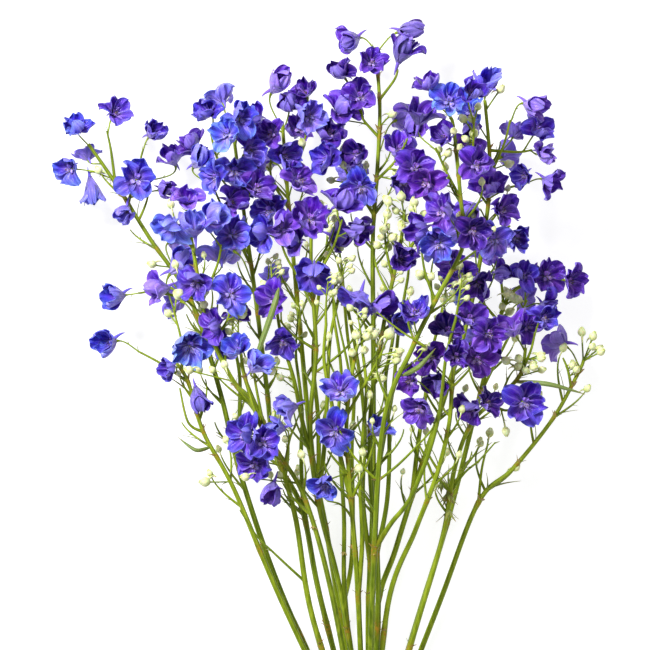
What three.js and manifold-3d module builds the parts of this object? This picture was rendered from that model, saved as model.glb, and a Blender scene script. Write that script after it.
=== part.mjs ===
// A bunch of cut delphinium stems lying on its back: sixteen loose, branched flower stems held by a
// rubber band, with the cut ends below the band and the flower heads fanned out above it.
// Millimetres, +Z up. +Y runs from the cut ends to the tips; the flowers face up.
import * as THREE from "three";
import { mergeVertices } from "three/addons/utils/BufferGeometryUtils.js";
import Module from "manifold-3d";

const wasm = await Module();
wasm.setup();

// ---- driving dimensions ----------------------------------------------------------------------
const CUT_Y = -196; // the cut ends
const TIE_Y = -121; // the middle of the band, where the stems cross the waist
const HEAD_Y = 330; // from here up every stem runs at its own depth
const TIE_HALF = 8; // half the stretch over which the stems run side by side
const STEM_FLAT = 2.9; // half the width across flats of a stem at the band
const STEM_GAP = 0.3; // clearance between two neighbours
const STEM_TIP = 0.56; // a stem's width at its tip, as a share of its width at the band
const CUT_SPREAD = 1.9; // the stems part again below the band
const CUT_LIFT = 1.25;
const BAND_WIDTH = 9;
const BAND_THICK = 1.6;
const PEDICEL_R = 0.95;
const BRANCH_R = 1.45;
const FORK_R = 2.3;
// A bloom's shape, as shares of its size
const THROAT = 0.05; // the throat lies ahead of the root of the sepals
const SMALL_THROAT = 0.1;
const ROOT = 0.07; // the radius of that root
const ROOT_BACK = 0.06;
const DEEP = 0.045; // how thick a large bloom's sepal is in its middle
const SPUR_UP = 0.2;
const SPUR_BACK = 0.3;
// And as shares of the length of a sepal
const LAYER = 0.05; // neighbouring sepals lie in front of and behind each other
const NOTCH = 0.75; // two sepals part at this share of their length
const BROAD = 0.95; // and are still broad at this one
const SHOULDER = 0.47; // half the angle that a sepal's broad end takes up, in radians
const LEAN_SHUT = -10; // how far the sepals lean away from the axis, in degrees
const LEAN_OPEN = 74;
const FLARE = 3; // and how much more they do at their root, and less at their tip
const FINE = 0.02; // corners that stand out by less than this are dropped
const PRESS = 4; // below this height the petals are pressed flat on the surface
const UNDER_Z = 4; // the blooms that the bunch lies on, before they are pressed flat
const UNDER_DROP = 45; // and how far one of them hangs below its stem at most
const LOWEST = 3; // a bloom's centre stays this far above the surface
const HIGHEST = 205;
const SPAN = 8; // the steps between two points of a stem's route
const STEP = 3; // a bloom slides along the depth by this step until it is clear
const CLEAR = 0.7; // the clearance kept between the pieces of two stems
const SHORT = 30; // a stalk shorter than this is straight
const BEHIND = 0.35; // a stalk that comes from straight behind its bloom has a cosine above this one
const PAST_SPUR = 0.4; // and one that comes past the spur has a cosine above this one
const OWN = { petal: 0.8, stalk: 0.9 }; // how far a bloom keeps from the rest of its own stem
const FRONT = 16; // a bloom that faces up stands this far above its stem
const BRANCH_RISE = 5; // a branch comes forward by this at each of its points
const SEED = 104729;

// ---- the stems ---------------------------------------------------------------------------------
// slot: row and column of the stem in the band. depth: its height above the surface in the head.
// route: [x, y] from the foot of the fan to the tip. forks, thick, and branches: routes that start
// on the stem.
// blooms: [x, y, size, azimuth, elevation, openness]; azimuth 0 faces +X, 90 faces the tips,
// elevation 90 faces straight up. buds: [x, y, length]. leaves: [x, y, x, y, x, y, width].
const STEMS = [
  {
    name: "stem_front_right",
    slot: [3, 0],
    depth: 150,
    route: [
      [2, 0], [8, 130], [15, 228], [34, 282], [52, 320], [66, 349], [86, 390], [98, 418], [91, 450],
      [88, 500], [81, 530],
    ],
    forks: [
      [[3, 102], [22, 127], [40, 150], [54, 182], [62, 205], [69, 232], [73, 262], [77, 296], [86, 330]],
    ],
    branches: [
      [[92, 450], [78, 474], [66, 500]], [[90, 470], [102, 496], [104, 530]],
      [[66, 349], [56, 376], [52, 400]],
    ],
    blooms: [
      [79, 545, 36, 80, 60, 1], [100, 554, 31, 60, 50, 0.9], [51, 530, 32, 75, 20, 0.6],
      [60, 560, 29, 100, 30, 0.8], [75, 510, 29, 110, 50, 0.8], [105, 482, 34, 20, 60, 1],
      [58, 466, 34, 200, 50, 1], [73, 436, 36, 150, 60, 1], [69, 405, 36, 240, 60, 1],
      [45, 336, 36, 85, 35, 1], [54, 418, 31, 180, 40, 0.8],
      [102, 418, 30, 340, 60, 0.9],
    ],
    buds: [[104, 514, 9], [78, 494, 8], [94, 528, 8], [52, 375, 8]],
    leaves: [[34, 282, 50, 284, 66, 302, 5]],
  },
  {
    name: "stem_front_left",
    slot: [3, -1],
    depth: 140,
    route: [
      [-28, 0], [-43, 100], [-62, 150], [-80, 182], [-94, 207], [-108, 228], [-118, 257], [-126, 288],
    ],
    forks: [],
    branches: [[[-85, 190], [-78, 212], [-72, 226]], [[-100, 216], [-112, 268], [-114, 290]]],
    blooms: [
      [-77, 244, 28, 180, 28, 0.6], [-89, 223, 28, 170, 28, 0.62], [-121, 216, 38, 160, 60, 1],
      [-105, 209, 34, 40, 60, 1], [-112, 187, 36, 240, 65, 1], [-95, 163, 28, 260, 20, 0.6],
      [-129, 300, 30, 120, 50, 0.8], [-112, 284, 28, 60, 30, 0.6],
    ],
    buds: [[-97, 279, 8], [-121, 174, 8]],
    leaves: [[-95, 318, -93, 345, -89, 362, 6]],
  },
  {
    name: "stem_centre_low",
    slot: [2, -0.5],
    depth: 132,
    route: [[-8, 0], [-12, 100], [-17, 150], [-20, 205], [-22, 250], [-14, 290], [-10, 306]],
    forks: [
      [[-9, 50], [-6, 110], [-8, 170], [-5, 220], [-2, 262], [-6, 300]],
      [[-17, 150], [-29, 200], [-37, 250], [-44, 290], [-42, 326]],
    ],
    branches: [
      [[-18, 170], [-32, 190], [-40, 200]], [[-17, 150], [0, 190], [6, 210]],
      [[-21, 240], [4, 280], [14, 300]],
    ],
    blooms: [
      [-28, 259, 38, 110, 70, 1], [-33, 219, 37, 220, 70, 1], [8, 220, 28, 60, 35, 0.7],
      [-43, 167, 33, 250, 65, 1],
    ],
    buds: [[5, 316, 13], [21, 316, 13], [-12, 314, 9], [-4, 300, 8], [12, 272, 8], [28, 294, 8]],
    leaves: [],
  },
  {
    name: "stem_left_inner",
    slot: [2, -1.5],
    depth: 116,
    route: [
      [-48, 0], [-60, 60], [-74, 140], [-89, 200], [-114, 239], [-137, 274], [-153, 306], [-166, 350],
      [-174, 400], [-180, 440],
    ],
    forks: [[[-105, 228], [-122, 270], [-127, 300]]],
    branches: [[[-153, 306], [-140, 330], [-136, 350]], [[-166, 350], [-150, 385], [-146, 405]]],
    blooms: [
      [-195, 424, 38, 200, 70, 1], [-181, 449, 31, 90, 40, 0.8], [-172, 420, 33, 95, 25, 0.65],
      [-155, 430, 33, 60, 35, 0.75], [-135, 415, 36, 40, 60, 1], [-147, 392, 32, 100, -35, 0.7],
      [-170, 367, 38, 170, 65, 1], [-137, 356, 36, 40, 65, 1], [-151, 324, 32, 190, 45, 0.9],
      [-141, 306, 26, 200, 50, 0.8], [-134, 338, 31, 90, 50, 0.8],
    ],
    buds: [[-187, 356, 9], [-163, 345, 8], [-126, 335, 8]],
    leaves: [[-160, 374, -142, 372, -124, 352, 5]],
  },
  {
    name: "stem_right_dark",
    slot: [3, 1],
    depth: 122,
    route: [
      [10, 0], [31, 80], [47, 120], [62, 158], [73, 192], [80, 225], [83, 254], [84, 280], [88, 308],
      [91, 336],
    ],
    forks: [],
    branches: [[[80, 296], [100, 306], [112, 314]]],
    blooms: [
      [62, 292, 34, 120, 60, 1], [42, 270, 32, 190, 50, 1], [51, 243, 34, 240, 60, 1],
      [80, 318, 34, 100, 60, 1], [100, 330, 34, 40, 60, 1], [118, 316, 32, 0, 50, 1],
      [107, 291, 36, 300, 65, 1], [86, 294, 30, 30, 70, 0.9], [70, 268, 30, 250, 50, 0.8],
      [119, 299, 26, 330, 30, 0.7],
    ],
    buds: [[70, 330, 8]],
    leaves: [],
  },
  {
    name: "stem_bud_spray",
    slot: [2, 0.5],
    depth: 104,
    route: [
      [8, 0], [11, 104], [2, 180], [1, 231], [7, 270], [13, 312], [19, 340], [24, 372], [32, 405],
      [36, 440],
    ],
    forks: [[[11, 100], [19, 150], [21, 215], [17, 268], [25, 316], [22, 350]]],
    branches: [
      [[24, 372], [18, 400], [16, 425]], [[28, 388], [46, 408], [50, 430]],
      [[13, 312], [-2, 330], [-8, 345]],
    ],
    blooms: [
      [-8, 354, 34, 250, 40, 0.8], [8, 343, 29, 10, 35, 0.6], [28, 330, 29, 330, 30, 0.7],
      [32, 391, 29, 20, 50, 0.8],
    ],
    buds: [
      [20, 449, 9], [33, 452, 9], [46, 446, 9], [19, 434, 9], [40, 431, 9], [55, 434, 9], [15, 420, 9],
      [34, 421, 9], [24, 411, 9], [10, 404, 8], [53, 412, 9],
    ],
    leaves: [],
  },
  {
    name: "stem_right_low",
    slot: [2, 1.5],
    depth: 100,
    route: [
      [38, 0], [60, 47], [75, 114], [84, 162], [90, 200], [104, 228], [124, 247], [142, 264], [152, 276],
      [157, 302],
    ],
    forks: [],
    branches: [
      [[124, 247], [136, 240], [145, 242]], [[152, 276], [162, 300], [166, 318]],
      [[84, 162], [70, 172], [66, 168]],
    ],
    blooms: [
      [155, 248, 42, 340, 70, 1], [103, 243, 32, 200, 55, 0.9], [118, 248, 28, 30, 50, 0.9],
      [143, 319, 34, 130, 40, 0.7], [159, 323, 34, 60, 55, 1], [175, 332, 30, 20, 50, 0.9],
    ],
    buds: [[138, 289, 8], [150, 291, 8], [171, 292, 8], [164, 283, 8], [137, 220, 8]],
    leaves: [[148, 268, 180, 266, 216, 256, 5]],
  },
  {
    name: "stem_left_middle",
    slot: [1, 0],
    depth: 92,
    route: [
      [-18, 0], [-33, 90], [-50, 150], [-58, 200], [-56, 250], [-52, 300], [-55, 350], [-58, 410],
      [-56, 440],
    ],
    forks: [
      [[-20, 20], [-24, 70], [-24, 130], [-27, 180], [-30, 230], [-27, 280], [-34, 330]],
      [[-58, 190], [-66, 230], [-74, 270], [-86, 310], [-92, 345]],
      [[-50, 150], [-44, 200], [-41, 250], [-38, 310], [-30, 350]],
    ],
    branches: [
      [[-55, 350], [-80, 390], [-88, 412]], [[-56, 370], [-36, 400], [-26, 430]],
      [[-52, 300], [-76, 316], [-88, 330]],
    ],
    blooms: [
      [-54, 378, 42, 270, 75, 1], [-58, 430, 42, 80, 70, 1], [-28, 444, 32, 60, 40, 0.8],
      [-14, 420, 34, 20, 60, 1], [-72, 408, 29, 150, 50, 0.8], [-86, 421, 34, 110, 55, 1],
      [-104, 416, 29, 170, 40, 0.8], [-93, 350, 32, 170, 50, 0.9], [-85, 308, 30, 250, 45, 0.9],
    ],
    buds: [[-36, 356, 8]],
    leaves: [],
  },
  {
    name: "stem_left_low",
    slot: [1, -2],
    depth: 82,
    route: [[-68, 0], [-104, 93], [-134, 160], [-158, 203], [-170, 232], [-180, 268], [-194, 290]],
    forks: [],
    branches: [
      [[-164, 214], [-180, 228], [-188, 262]], [[-180, 268], [-206, 286], [-230, 299]],
      [[-186, 278], [-186, 306], [-194, 340]],
    ],
    blooms: [
      [-258, 308, 36, 190, 28, 0.72], [-178, 304, 45, 270, 75, 1], [-196, 282, 26, 200, 40, 0.8],
      [-170, 255, 25, 285, 20, 0.5], [-206, 362, 30, 180, 20, 0.6], [-190, 384, 34, 45, 15, 0.55],
    ],
    buds: [[-163, 168, 12], [-199, 336, 8]],
    leaves: [[-158, 203, -172, 200, -190, 213, 4]],
  },
  {
    name: "stem_right_top",
    slot: [1, 1],
    depth: 74,
    route: [
      [6, 0], [14, 60], [28, 100], [44, 150], [60, 205], [76, 250], [92, 300], [104, 350], [114, 400],
      [121, 450], [122, 500],
      [117, 550],
    ],
    forks: [[[44, 150], [50, 205], [57, 250], [62, 290], [72, 330]]],
    branches: [
      [[121, 450], [140, 462], [158, 466]], [[122, 480], [136, 506], [142, 530]],
      [[117, 412], [134, 420], [142, 424]], [[122, 500], [150, 498], [164, 500]],
    ],
    blooms: [
      [119, 564, 32, 80, 25, 0.55], [103, 537, 31, 120, 60, 1], [162, 545, 32, 348, 30, 0.65],
      [170, 519, 32, 30, 60, 1], [147, 516, 26, 60, -30, 0.8], [174, 496, 28, 10, 40, 0.8],
      [180, 469, 28, 343, 30, 0.65], [156, 474, 26, 200, 50, 0.8], [120, 460, 40, 90, 70, 1],
      [106, 440, 34, 200, 45, 0.8], [134, 440, 30, 30, 45, 0.8], [148, 412, 30, 340, 50, 0.9],
      [126, 410, 32, 200, 60, 0.9],
      [102, 513, 33, 60, 60, 0.9], [110, 366, 30, 300, 55, 0.9],
    ],
    buds: [[140, 486, 8], [132, 560, 8]],
    leaves: [],
  },
  {
    name: "stem_far_right",
    slot: [1, 2],
    depth: 70,
    route: [[52, 0], [90, 85], [111, 147], [132, 168], [160, 196], [186, 232], [205, 264], [216, 290]],
    forks: [],
    branches: [[[205, 264], [200, 280], [195, 292]], [[111, 147], [114, 180], [120, 206]]],
    blooms: [[195, 306, 38, 150, -25, 0.9]],
    buds: [[214, 317, 8], [225, 313, 8], [232, 298, 8], [206, 284, 8], [122, 216, 8]],
    leaves: [],
  },
  {
    name: "stem_upper_left",
    slot: [1, -1],
    depth: 62,
    route: [
      [-38, 0], [-55, 93], [-66, 140], [-86, 180], [-97, 210], [-102, 267], [-108, 320], [-118, 390],
      [-126, 450], [-134, 510],
    ],
    forks: [[[-60, 120], [-66, 160], [-67, 200], [-66, 240], [-72, 290]]],
    branches: [[[-118, 390], [-140, 430], [-158, 470]], [[-126, 450], [-150, 490], [-158, 520]]],
    blooms: [
      [-128, 532, 40, 60, 70, 1], [-160, 537, 32, 150, 40, 0.9], [-146, 552, 31, 100, -30, 0.8],
      [-171, 488, 32, 50, 30, 0.7], [-134, 479, 40, 300, 70, 1], [-152, 472, 31, 200, 45, 0.9],
      [-175, 506, 27, 130, 35, 0.7], [-137, 448, 33, 10, 35, 0.8], [-112, 462, 31, 30, 50, 0.9],
      [-118, 500, 29, 20, 45, 0.8],
      [-140, 515, 33, 130, 60, 1], [-121, 462, 30, 80, 60, 0.9],
    ],
    buds: [[-147, 508, 8]],
    leaves: [],
  },
  {
    name: "stem_centre_tall",
    slot: [0, 0.5],
    depth: 60,
    route: [
      [-2, 0], [4, 51], [5, 143], [6, 230], [5, 370], [5, 410], [8, 455], [11, 510], [12, 540], [10, 575],
      [8, 604],
    ],
    forks: [
      [[4, 80], [-5, 150], [-3, 220], [-9, 280], [-18, 330], [-26, 370]],
      [[5, 143], [14, 200], [25, 260], [31, 320], [40, 372]],
    ],
    branches: [
      [[5, 440], [-14, 466], [-26, 486]], [[9, 470], [28, 490], [40, 512]],
      [[12, 545], [26, 570], [30, 580]], [[11, 510], [-4, 530], [-6, 538]],
    ],
    blooms: [
      [33, 597, 34, 75, 15, 0.55], [37, 620, 32, 11, 30, 0.65], [-14, 611, 32, 200, 30, 0.7],
      [4, 588, 29, 70, 60, 0.9], [-26, 576, 30, 130, 40, 0.75], [-8, 553, 37, 60, 65, 1],
      [-28, 540, 35, 60, 45, 0.8], [-40, 490, 32, 170, 45, 0.9], [-38, 516, 34, 100, 55, 1],
      [-7, 463, 36, 260, 60, 1], [-10, 496, 34, 200, 55, 1], [30, 500, 36, 40, 60, 1],
      [34, 468, 36, 340, 60, 1], [44, 520, 29, 60, 40, 0.7],
      [47, 482, 32, 40, 60, 0.9],
    ],
    buds: [[-24, 500, 8], [24, 536, 8]],
    leaves: [],
  },
  {
    name: "stem_far_left",
    slot: [0, -1.5],
    depth: 48,
    route: [
      [-64, 0], [-98, 85], [-126, 168], [-146, 234], [-154, 290], [-178, 350], [-206, 392], [-232, 432],
      [-254, 468], [-281, 507],
    ],
    forks: [[[-133, 190], [-129, 230], [-129, 275], [-136, 310]]],
    branches: [
      [[-243, 450], [-232, 478], [-226, 500]], [[-254, 468], [-258, 500], [-262, 520]],
      [[-178, 350], [-212, 358], [-230, 357]],
    ],
    blooms: [
      [-292, 520, 32, 90, 70, 1], [-299, 482, 32, 180, 50, 1], [-253, 539, 29, 49, 40, 0.75],
      [-217, 517, 30, 45, 40, 0.75], [-282, 494, 26, 100, -35, 0.8], [-278, 464, 26, 280, 10, 0.45],
      [-232, 471, 42, 90, 75, 1], [-206, 460, 26, 0, 40, 0.8], [-196, 492, 29, 110, 25, 0.65],
      [-243, 440, 26, 240, 30, 0.7], [-251, 354, 33, 188, 30, 0.65],
    ],
    buds: [[-216, 386, 8]],
    leaves: [],
  },
  {
    name: "stem_back_right",
    slot: [0, 1.5],
    depth: 46,
    route: [
      [40, 0], [62, 60], [80, 125], [98, 195], [114, 260], [127, 310], [136, 345], [158, 368], [188, 374],
    ],
    forks: [],
    branches: [
      [[132, 330], [112, 352], [100, 370]], [[136, 345], [134, 370], [132, 384]],
      [[118, 260], [150, 330], [160, 350]],
    ],
    blooms: [
      [179, 374, 36, 30, 60, 1], [203, 369, 32, 350, 35, 0.8], [156, 374, 28, 110, 50, 0.9],
      [121, 396, 33, 110, 30, 0.75], [130, 376, 26, 20, 40, 0.8], [92, 372, 32, 150, 40, 0.8],
      [104, 356, 32, 200, 30, 0.8], [176, 344, 27, 330, 35, 0.8],
      [87, 388, 33, 200, 60, 1],
    ],
    buds: [[140, 358, 8], [148, 350, 8], [142, 338, 8]],
    leaves: [],
  },
  {
    name: "stem_back_left",
    slot: [0, -0.5],
    depth: 38,
    route: [
      [-24, 0], [-30, 60], [-42, 120], [-52, 170], [-60, 230], [-68, 320], [-76, 410], [-82, 470],
      [-86, 530],
    ],
    forks: [
      [[-26, 30], [-17, 80], [-15, 140], [-16, 200], [-14, 260], [-21, 320], [-26, 380]],
      [[-50, 160], [-50, 230], [-55, 290], [-50, 350], [-42, 400]],
    ],
    branches: [
      [[-82, 470], [-66, 500], [-62, 520]], [[-80, 440], [-96, 470], [-98, 490]],
      [[-72, 370], [-40, 400], [-30, 415]],
    ],
    blooms: [
      [-92, 566, 34, 55, 28, 0.6], [-79, 544, 31, 90, 50, 0.9], [-60, 534, 38, 50, 65, 1],
      [-97, 517, 32, 150, 55, 0.9], [-84, 496, 31, 0, 45, 0.8], [-70, 470, 36, 20, 45, 1],
      [-98, 440, 38, 190, 60, 1], [-107, 484, 31, 180, 40, 0.8], [-34, 412, 31, 0, 30, 0.8],
      [-62, 557, 30, 110, 45, 0.9], [-110, 532, 30, 150, 50, 0.9], [-68, 522, 32, 90, 55, 0.9],
    ],
    buds: [[-66, 508, 8]],
    leaves: [],
  },
];

// Blooms on the side that the bunch lies on, for each stem: how many, and the stretch that they fill.
const UNDERSIDE = {
  stem_far_left: [2, 320, 440],
  stem_back_left: [3, 340, 520],
  stem_centre_tall: [2, 450, 560],
  stem_back_right: [2, 290, 370],
  stem_upper_left: [1, 380, 420],
  stem_right_top: [2, 390, 530],
};

// ---- small helpers -------------------------------------------------------------------------------
const RAD = Math.PI / 180;
const mix = (a, b, t) => a + (b - a) * t;
const vec = (x, y, z) => new THREE.Vector3(x, y, z);

// A seeded generator, so that each run draws the same numbers.
const MODULUS = 2147483647;
const MULTIPLIER = 16807;
function seeded(seed) {
  let state = seed;
  return () => {
    state = (state * MULTIPLIER) % MODULUS;
    return state / MODULUS;
  };
}

// A smooth path through the points: uniform Catmull-Rom spans, each cut into the same number of steps.
function smooth(points, steps) {
  const path = [];
  const last = points.length - 1;
  for (let i = 0; i < last; i++) {
    const p0 = points[Math.max(i - 1, 0)];
    const p1 = points[i];
    const p2 = points[i + 1];
    const p3 = points[Math.min(i + 2, last)];
    for (let k = 0; k < steps; k++) {
      const t = k / steps;
      const mid = (a, b, c, d) => {
        const bend = 2 * a - 5 * b + 4 * c - d;
        const twist = 3 * b - a - 3 * c + d;
        return 0.5 * (2 * b + (c - a) * t + bend * t * t + twist * t * t * t);
      };
      path.push(vec(mid(p0.x, p1.x, p2.x, p3.x), mid(p0.y, p1.y, p2.y, p3.y), mid(p0.z, p1.z, p2.z, p3.z)));
    }
  }
  path.push(points[last].clone());
  return path;
}

function everyOther(path, stride) {
  const kept = path.filter((_, i) => i % stride === 0);
  if ((path.length - 1) % stride) {
    kept.push(path[path.length - 1]);
  }
  return kept;
}

function pathLength(path) {
  return path.slice(1).reduce((sum, p, i) => sum + p.distanceTo(path[i]), 0);
}

// The same path with each of its straight stretches cut into equal steps.
function densify(path, steps) {
  const dense = [];
  for (let i = 0; i + 1 < path.length; i++) {
    for (let k = 0; k < steps; k++) {
      dense.push(path[i].clone().lerp(path[i + 1], k / steps));
    }
  }
  dense.push(path[path.length - 1].clone());
  return dense;
}

// A cubic Bezier arc as a list of points.
function arc(a, b, c, d, steps) {
  const path = [];
  for (let k = 0; k <= steps; k++) {
    const t = k / steps;
    const s = 1 - t;
    path.push(
      vec(0, 0, 0)
        .addScaledVector(a, s * s * s)
        .addScaledVector(b, 3 * s * s * t)
        .addScaledVector(c, 3 * s * t * t)
        .addScaledVector(d, t * t * t),
    );
  }
  return path;
}

// ---- solids ----------------------------------------------------------------------------------------
function solid(points, faces) {
  const geometry = new THREE.BufferGeometry();
  const flat = points.flatMap((p) => [p.x, p.y, p.z]);
  geometry.setAttribute("position", new THREE.Float32BufferAttribute(flat, 3));
  geometry.setIndex(faces.flat());
  const merged = mergeVertices(geometry, 1e-4);
  const vertProperties = merged.attributes.position.array;
  const triVerts = new Uint32Array(merged.index.array);
  return new wasm.Manifold(new wasm.Mesh({ numProp: 3, vertProperties, triVerts }));
}

// A closed tube along a path: half-width and half-height at each share of the length.
function tube(path, width, height, sides, firstNormal) {
  const points = [];
  const faces = [];
  let normal = firstNormal.clone();
  path.forEach((p, i) => {
    const tangent = path[Math.min(i + 1, path.length - 1)].clone().sub(path[Math.max(i - 1, 0)]).normalize();
    normal = normal.clone().addScaledVector(tangent, -normal.dot(tangent)).normalize();
    const side = tangent.clone().cross(normal);
    const t = i / (path.length - 1);
    for (let k = 0; k < sides; k++) {
      const turn = ((k + 0.5) * 2 * Math.PI) / sides;
      const corner = p.clone().addScaledVector(normal, width(t) * Math.cos(turn));
      points.push(corner.addScaledVector(side, height(t) * Math.sin(turn)));
    }
  });
  for (let i = 0; i < path.length - 1; i++) {
    for (let k = 0; k < sides; k++) {
      const a = i * sides + k;
      const b = i * sides + ((k + 1) % sides);
      faces.push([a, b, b + sides], [a, b + sides, a + sides]);
    }
  }
  const end = (path.length - 1) * sides;
  for (let k = 1; k < sides - 1; k++) {
    faces.push([0, k + 1, k], [end, end + k, end + k + 1]);
  }
  return solid(points, faces);
}

function roundTube(path, r0, r1, sides) {
  const along = path[1].clone().sub(path[0]).normalize();
  const normal = Math.abs(along.x) < 0.8 ? vec(1, 0, 0) : vec(0, 0, 1);
  const radius = (t) => mix(r0, r1, t);
  return tube(path, radius, radius, sides, normal);
}

// The frame of a bloom: forward out of the cup, up along the top sepal, right across.
function bloomFrame(azimuth, elevation, roll) {
  const forward = vec(
    Math.cos(elevation * RAD) * Math.cos(azimuth * RAD),
    Math.cos(elevation * RAD) * Math.sin(azimuth * RAD),
    Math.sin(elevation * RAD),
  );
  const level = Math.abs(forward.y) < 0.9 ? vec(0, 1, 0) : vec(0, 0, 1);
  const up = level.addScaledVector(forward, -level.dot(forward)).normalize();
  const right = up.clone().cross(forward);
  const turned = up.clone().multiplyScalar(Math.cos(roll)).addScaledVector(right, Math.sin(roll));
  return { forward, up: turned, right: turned.clone().cross(forward) };
}

// How far the sepals lean away from the bloom's axis, their length, and their angle along it.
function sepalLean(open) {
  return mix(LEAN_SHUT, LEAN_OPEN, open) * RAD;
}

function sepalLength(size, open) {
  return (0.5 * size) / Math.sin(sepalLean(open));
}

function sepalAngle(open, t) {
  return sepalLean(open) + mix(FLARE, -FLARE, t) * RAD;
}

// Three-sided rings down a stalk, from the piece at its top to its foot. Each face joins the ring above;
// top holds the indices of the first ring, which the caller has joined to its own shell.
function stalkFaces(points, faces, top, path, up, stride) {
  const rings = [top];
  let level = up;
  for (let i = path.length - 1 - stride; i >= 0; i -= stride) {
    const ahead = path[i + 1].clone().sub(path[Math.max(i - 1, 0)]).normalize();
    level = level.clone().addScaledVector(ahead, -level.dot(ahead)).normalize();
    rings.push(stalkRing(points, path[i], level.clone().cross(ahead), level));
  }
  for (let i = 0; i + 1 < rings.length; i++) {
    const [upper, lower] = [rings[i], rings[i + 1]];
    for (let a = 0; a < 3; a++) {
      const b = (a + 1) % 3;
      faces.push([upper[b], upper[a], lower[a]], [upper[b], lower[a], lower[b]]);
    }
  }
  const foot = rings[rings.length - 1];
  faces.push([foot[2], foot[1], foot[0]]);
}

function stalkRing(points, centre, right, up) {
  const ring = [];
  for (let a = 0; a < 3; a++) {
    const turn = Math.PI / 2 + (a * 2 * Math.PI) / 3;
    const corner = centre.clone().addScaledVector(right, PEDICEL_R * Math.cos(turn));
    ring.push(points.push(corner.addScaledVector(up, PEDICEL_R * Math.sin(turn))) - 1);
  }
  return ring;
}

// Five broad sepals as one cupped shell, with the spur drawn out behind the top one and the stalk
// grown out of its root.
function bloomSolid({ bloom, stalk }) {
  const { base, frame, size, open } = bloom;
  const length = sepalLength(size, open);
  const pointed = size >= 38 && open >= 0.9;
  const small = size < 34;
  const place = (out, turn, ahead) =>
    base
      .clone()
      .addScaledVector(frame.right, out * Math.cos(turn))
      .addScaledVector(frame.up, out * Math.sin(turn))
      .addScaledVector(frame.forward, ahead);
  const sepalPoint = (turn, t, layer) => {
    const angle = sepalAngle(open, t);
    return place(length * t * Math.sin(angle), turn, length * (t * Math.cos(angle) + layer));
  };
  const halfway = (a, b) => points[a].clone().lerp(points[b], 0.5);
  const points = [
    place(0, 0, (small ? SMALL_THROAT : THROAT) * size),
    place(SPUR_UP * size, Math.PI / 2, -SPUR_BACK * size),
  ];
  const [throat, spur] = [0, 1];
  const faces = [];
  const step = (2 * Math.PI) / 5;
  const notch = [];
  const root = [];
  for (let k = 0; k < 5; k++) {
    const turn = Math.PI / 2 + step * (k - 0.5);
    notch.push(points.push(sepalPoint(turn, NOTCH, 0)) - 1);
    root.push(points.push(place(ROOT * size, turn, -ROOT_BACK * size)) - 1);
  }
  for (let k = 0; k < 5; k++) {
    const turn = Math.PI / 2 + step * k;
    const layer = k % 2 ? LAYER : -LAYER;
    const next = (k + 1) % 5;
    const low = points.push(sepalPoint(turn - SHOULDER, BROAD, layer)) - 1;
    const high = points.push(sepalPoint(turn + SHOULDER, BROAD, layer)) - 1;
    const behind = halfway(root[k], root[next]);
    const shoulder = halfway(low, high);
    const tip = pointed ? [points.push(behind.clone().lerp(shoulder, 1.2)) - 1] : [];
    // the middle of the front stands clear of the flat back
    const inward = points[throat].clone().sub(behind).setLength(DEEP * size);
    const middle = small ? throat : points.push(behind.lerp(shoulder, 0.6).add(inward)) - 1;
    const edge = [notch[k], low, ...tip, high, notch[next]];
    for (let i = 0; i + 1 < edge.length; i++) {
      faces.push([middle, edge[i], edge[i + 1]]);
    }
    if (!small) {
      faces.push([middle, throat, notch[k]], [middle, notch[next], throat]);
    }
    faces.push([notch[k], root[k], low], [root[k], high, low], [notch[next], high, root[next]]);
    if (pointed) {
      faces.push([low, high, tip[0]]);
    }
    if (k === 0) {
      faces.push([root[k], spur, high], [root[next], high, spur], [root[k], root[next], spur]);
    } else {
      faces.push([root[k], root[next], high]);
    }
  }
  if (stalkTurns(stalk, frame)) {
    for (let k = 1; k < 4; k++) {
      faces.push([root[0], root[k + 1], root[k]]);
    }
    const bent = [...everyOther(stalk, 2), base];
    return solid(points, faces).add(roundTube(bent, PEDICEL_R, PEDICEL_R, 3));
  }
  const top = stalkRing(points, stalk[stalk.length - 1], frame.right, frame.up);
  const partner = [0, 1, 1, 2, 2];
  for (let k = 0; k < 5; k++) {
    const before = partner[(k + 4) % 5];
    faces.push([top[partner[k]], root[(k + 1) % 5], root[k]]);
    if (before !== partner[k]) {
      faces.push([root[k], top[before], top[partner[k]]]);
    }
  }
  stalkFaces(points, faces, top, stalk, frame.up, pathLength(stalk) < SHORT ? 4 : 2);
  return solid(points, faces);
}

// A stalk that comes from beside the cup or past its spur would cut the bloom's back, so it is a solid
// of its own that is joined to the bloom.
function stalkTurns(stalk, frame) {
  const ahead = stalk[stalk.length - 1].clone().sub(stalk[0]).normalize();
  return ahead.dot(frame.forward) < BEHIND || ahead.dot(frame.up) < -PAST_SPUR;
}

// A closed bud: an egg of three sides with its narrow end at the front, on its stalk.
function budSolid({ bud, stalk }) {
  const { base, frame, size } = bud;
  const points = [base.clone().addScaledVector(frame.forward, size)];
  const ring = (along, out, shift) => {
    const indices = [];
    for (let k = 0; k < 3; k++) {
      const turn = Math.PI / 2 + ((k + shift) * 2 * Math.PI) / 3;
      const corner = base.clone().addScaledVector(frame.forward, along * size);
      corner.addScaledVector(frame.right, out * size * Math.cos(turn));
      indices.push(points.push(corner.addScaledVector(frame.up, out * size * Math.sin(turn))) - 1);
    }
    return indices;
  };
  const front = ring(0.78, 0.3, 0.5);
  const belly = ring(0.32, 0.44, 0);
  const top = stalkRing(points, stalk[stalk.length - 1], frame.right, frame.up);
  const faces = [];
  for (let a = 0; a < 3; a++) {
    const b = (a + 1) % 3;
    faces.push([0, front[a], front[b]]);
    faces.push([front[a], belly[a], belly[b]], [front[a], belly[b], front[b]]);
    faces.push([belly[b], belly[a], top[a]], [belly[b], top[a], top[b]]);
  }
  stalkFaces(points, faces, top, stalk, frame.up, 4);
  return solid(points, faces);
}

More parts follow.
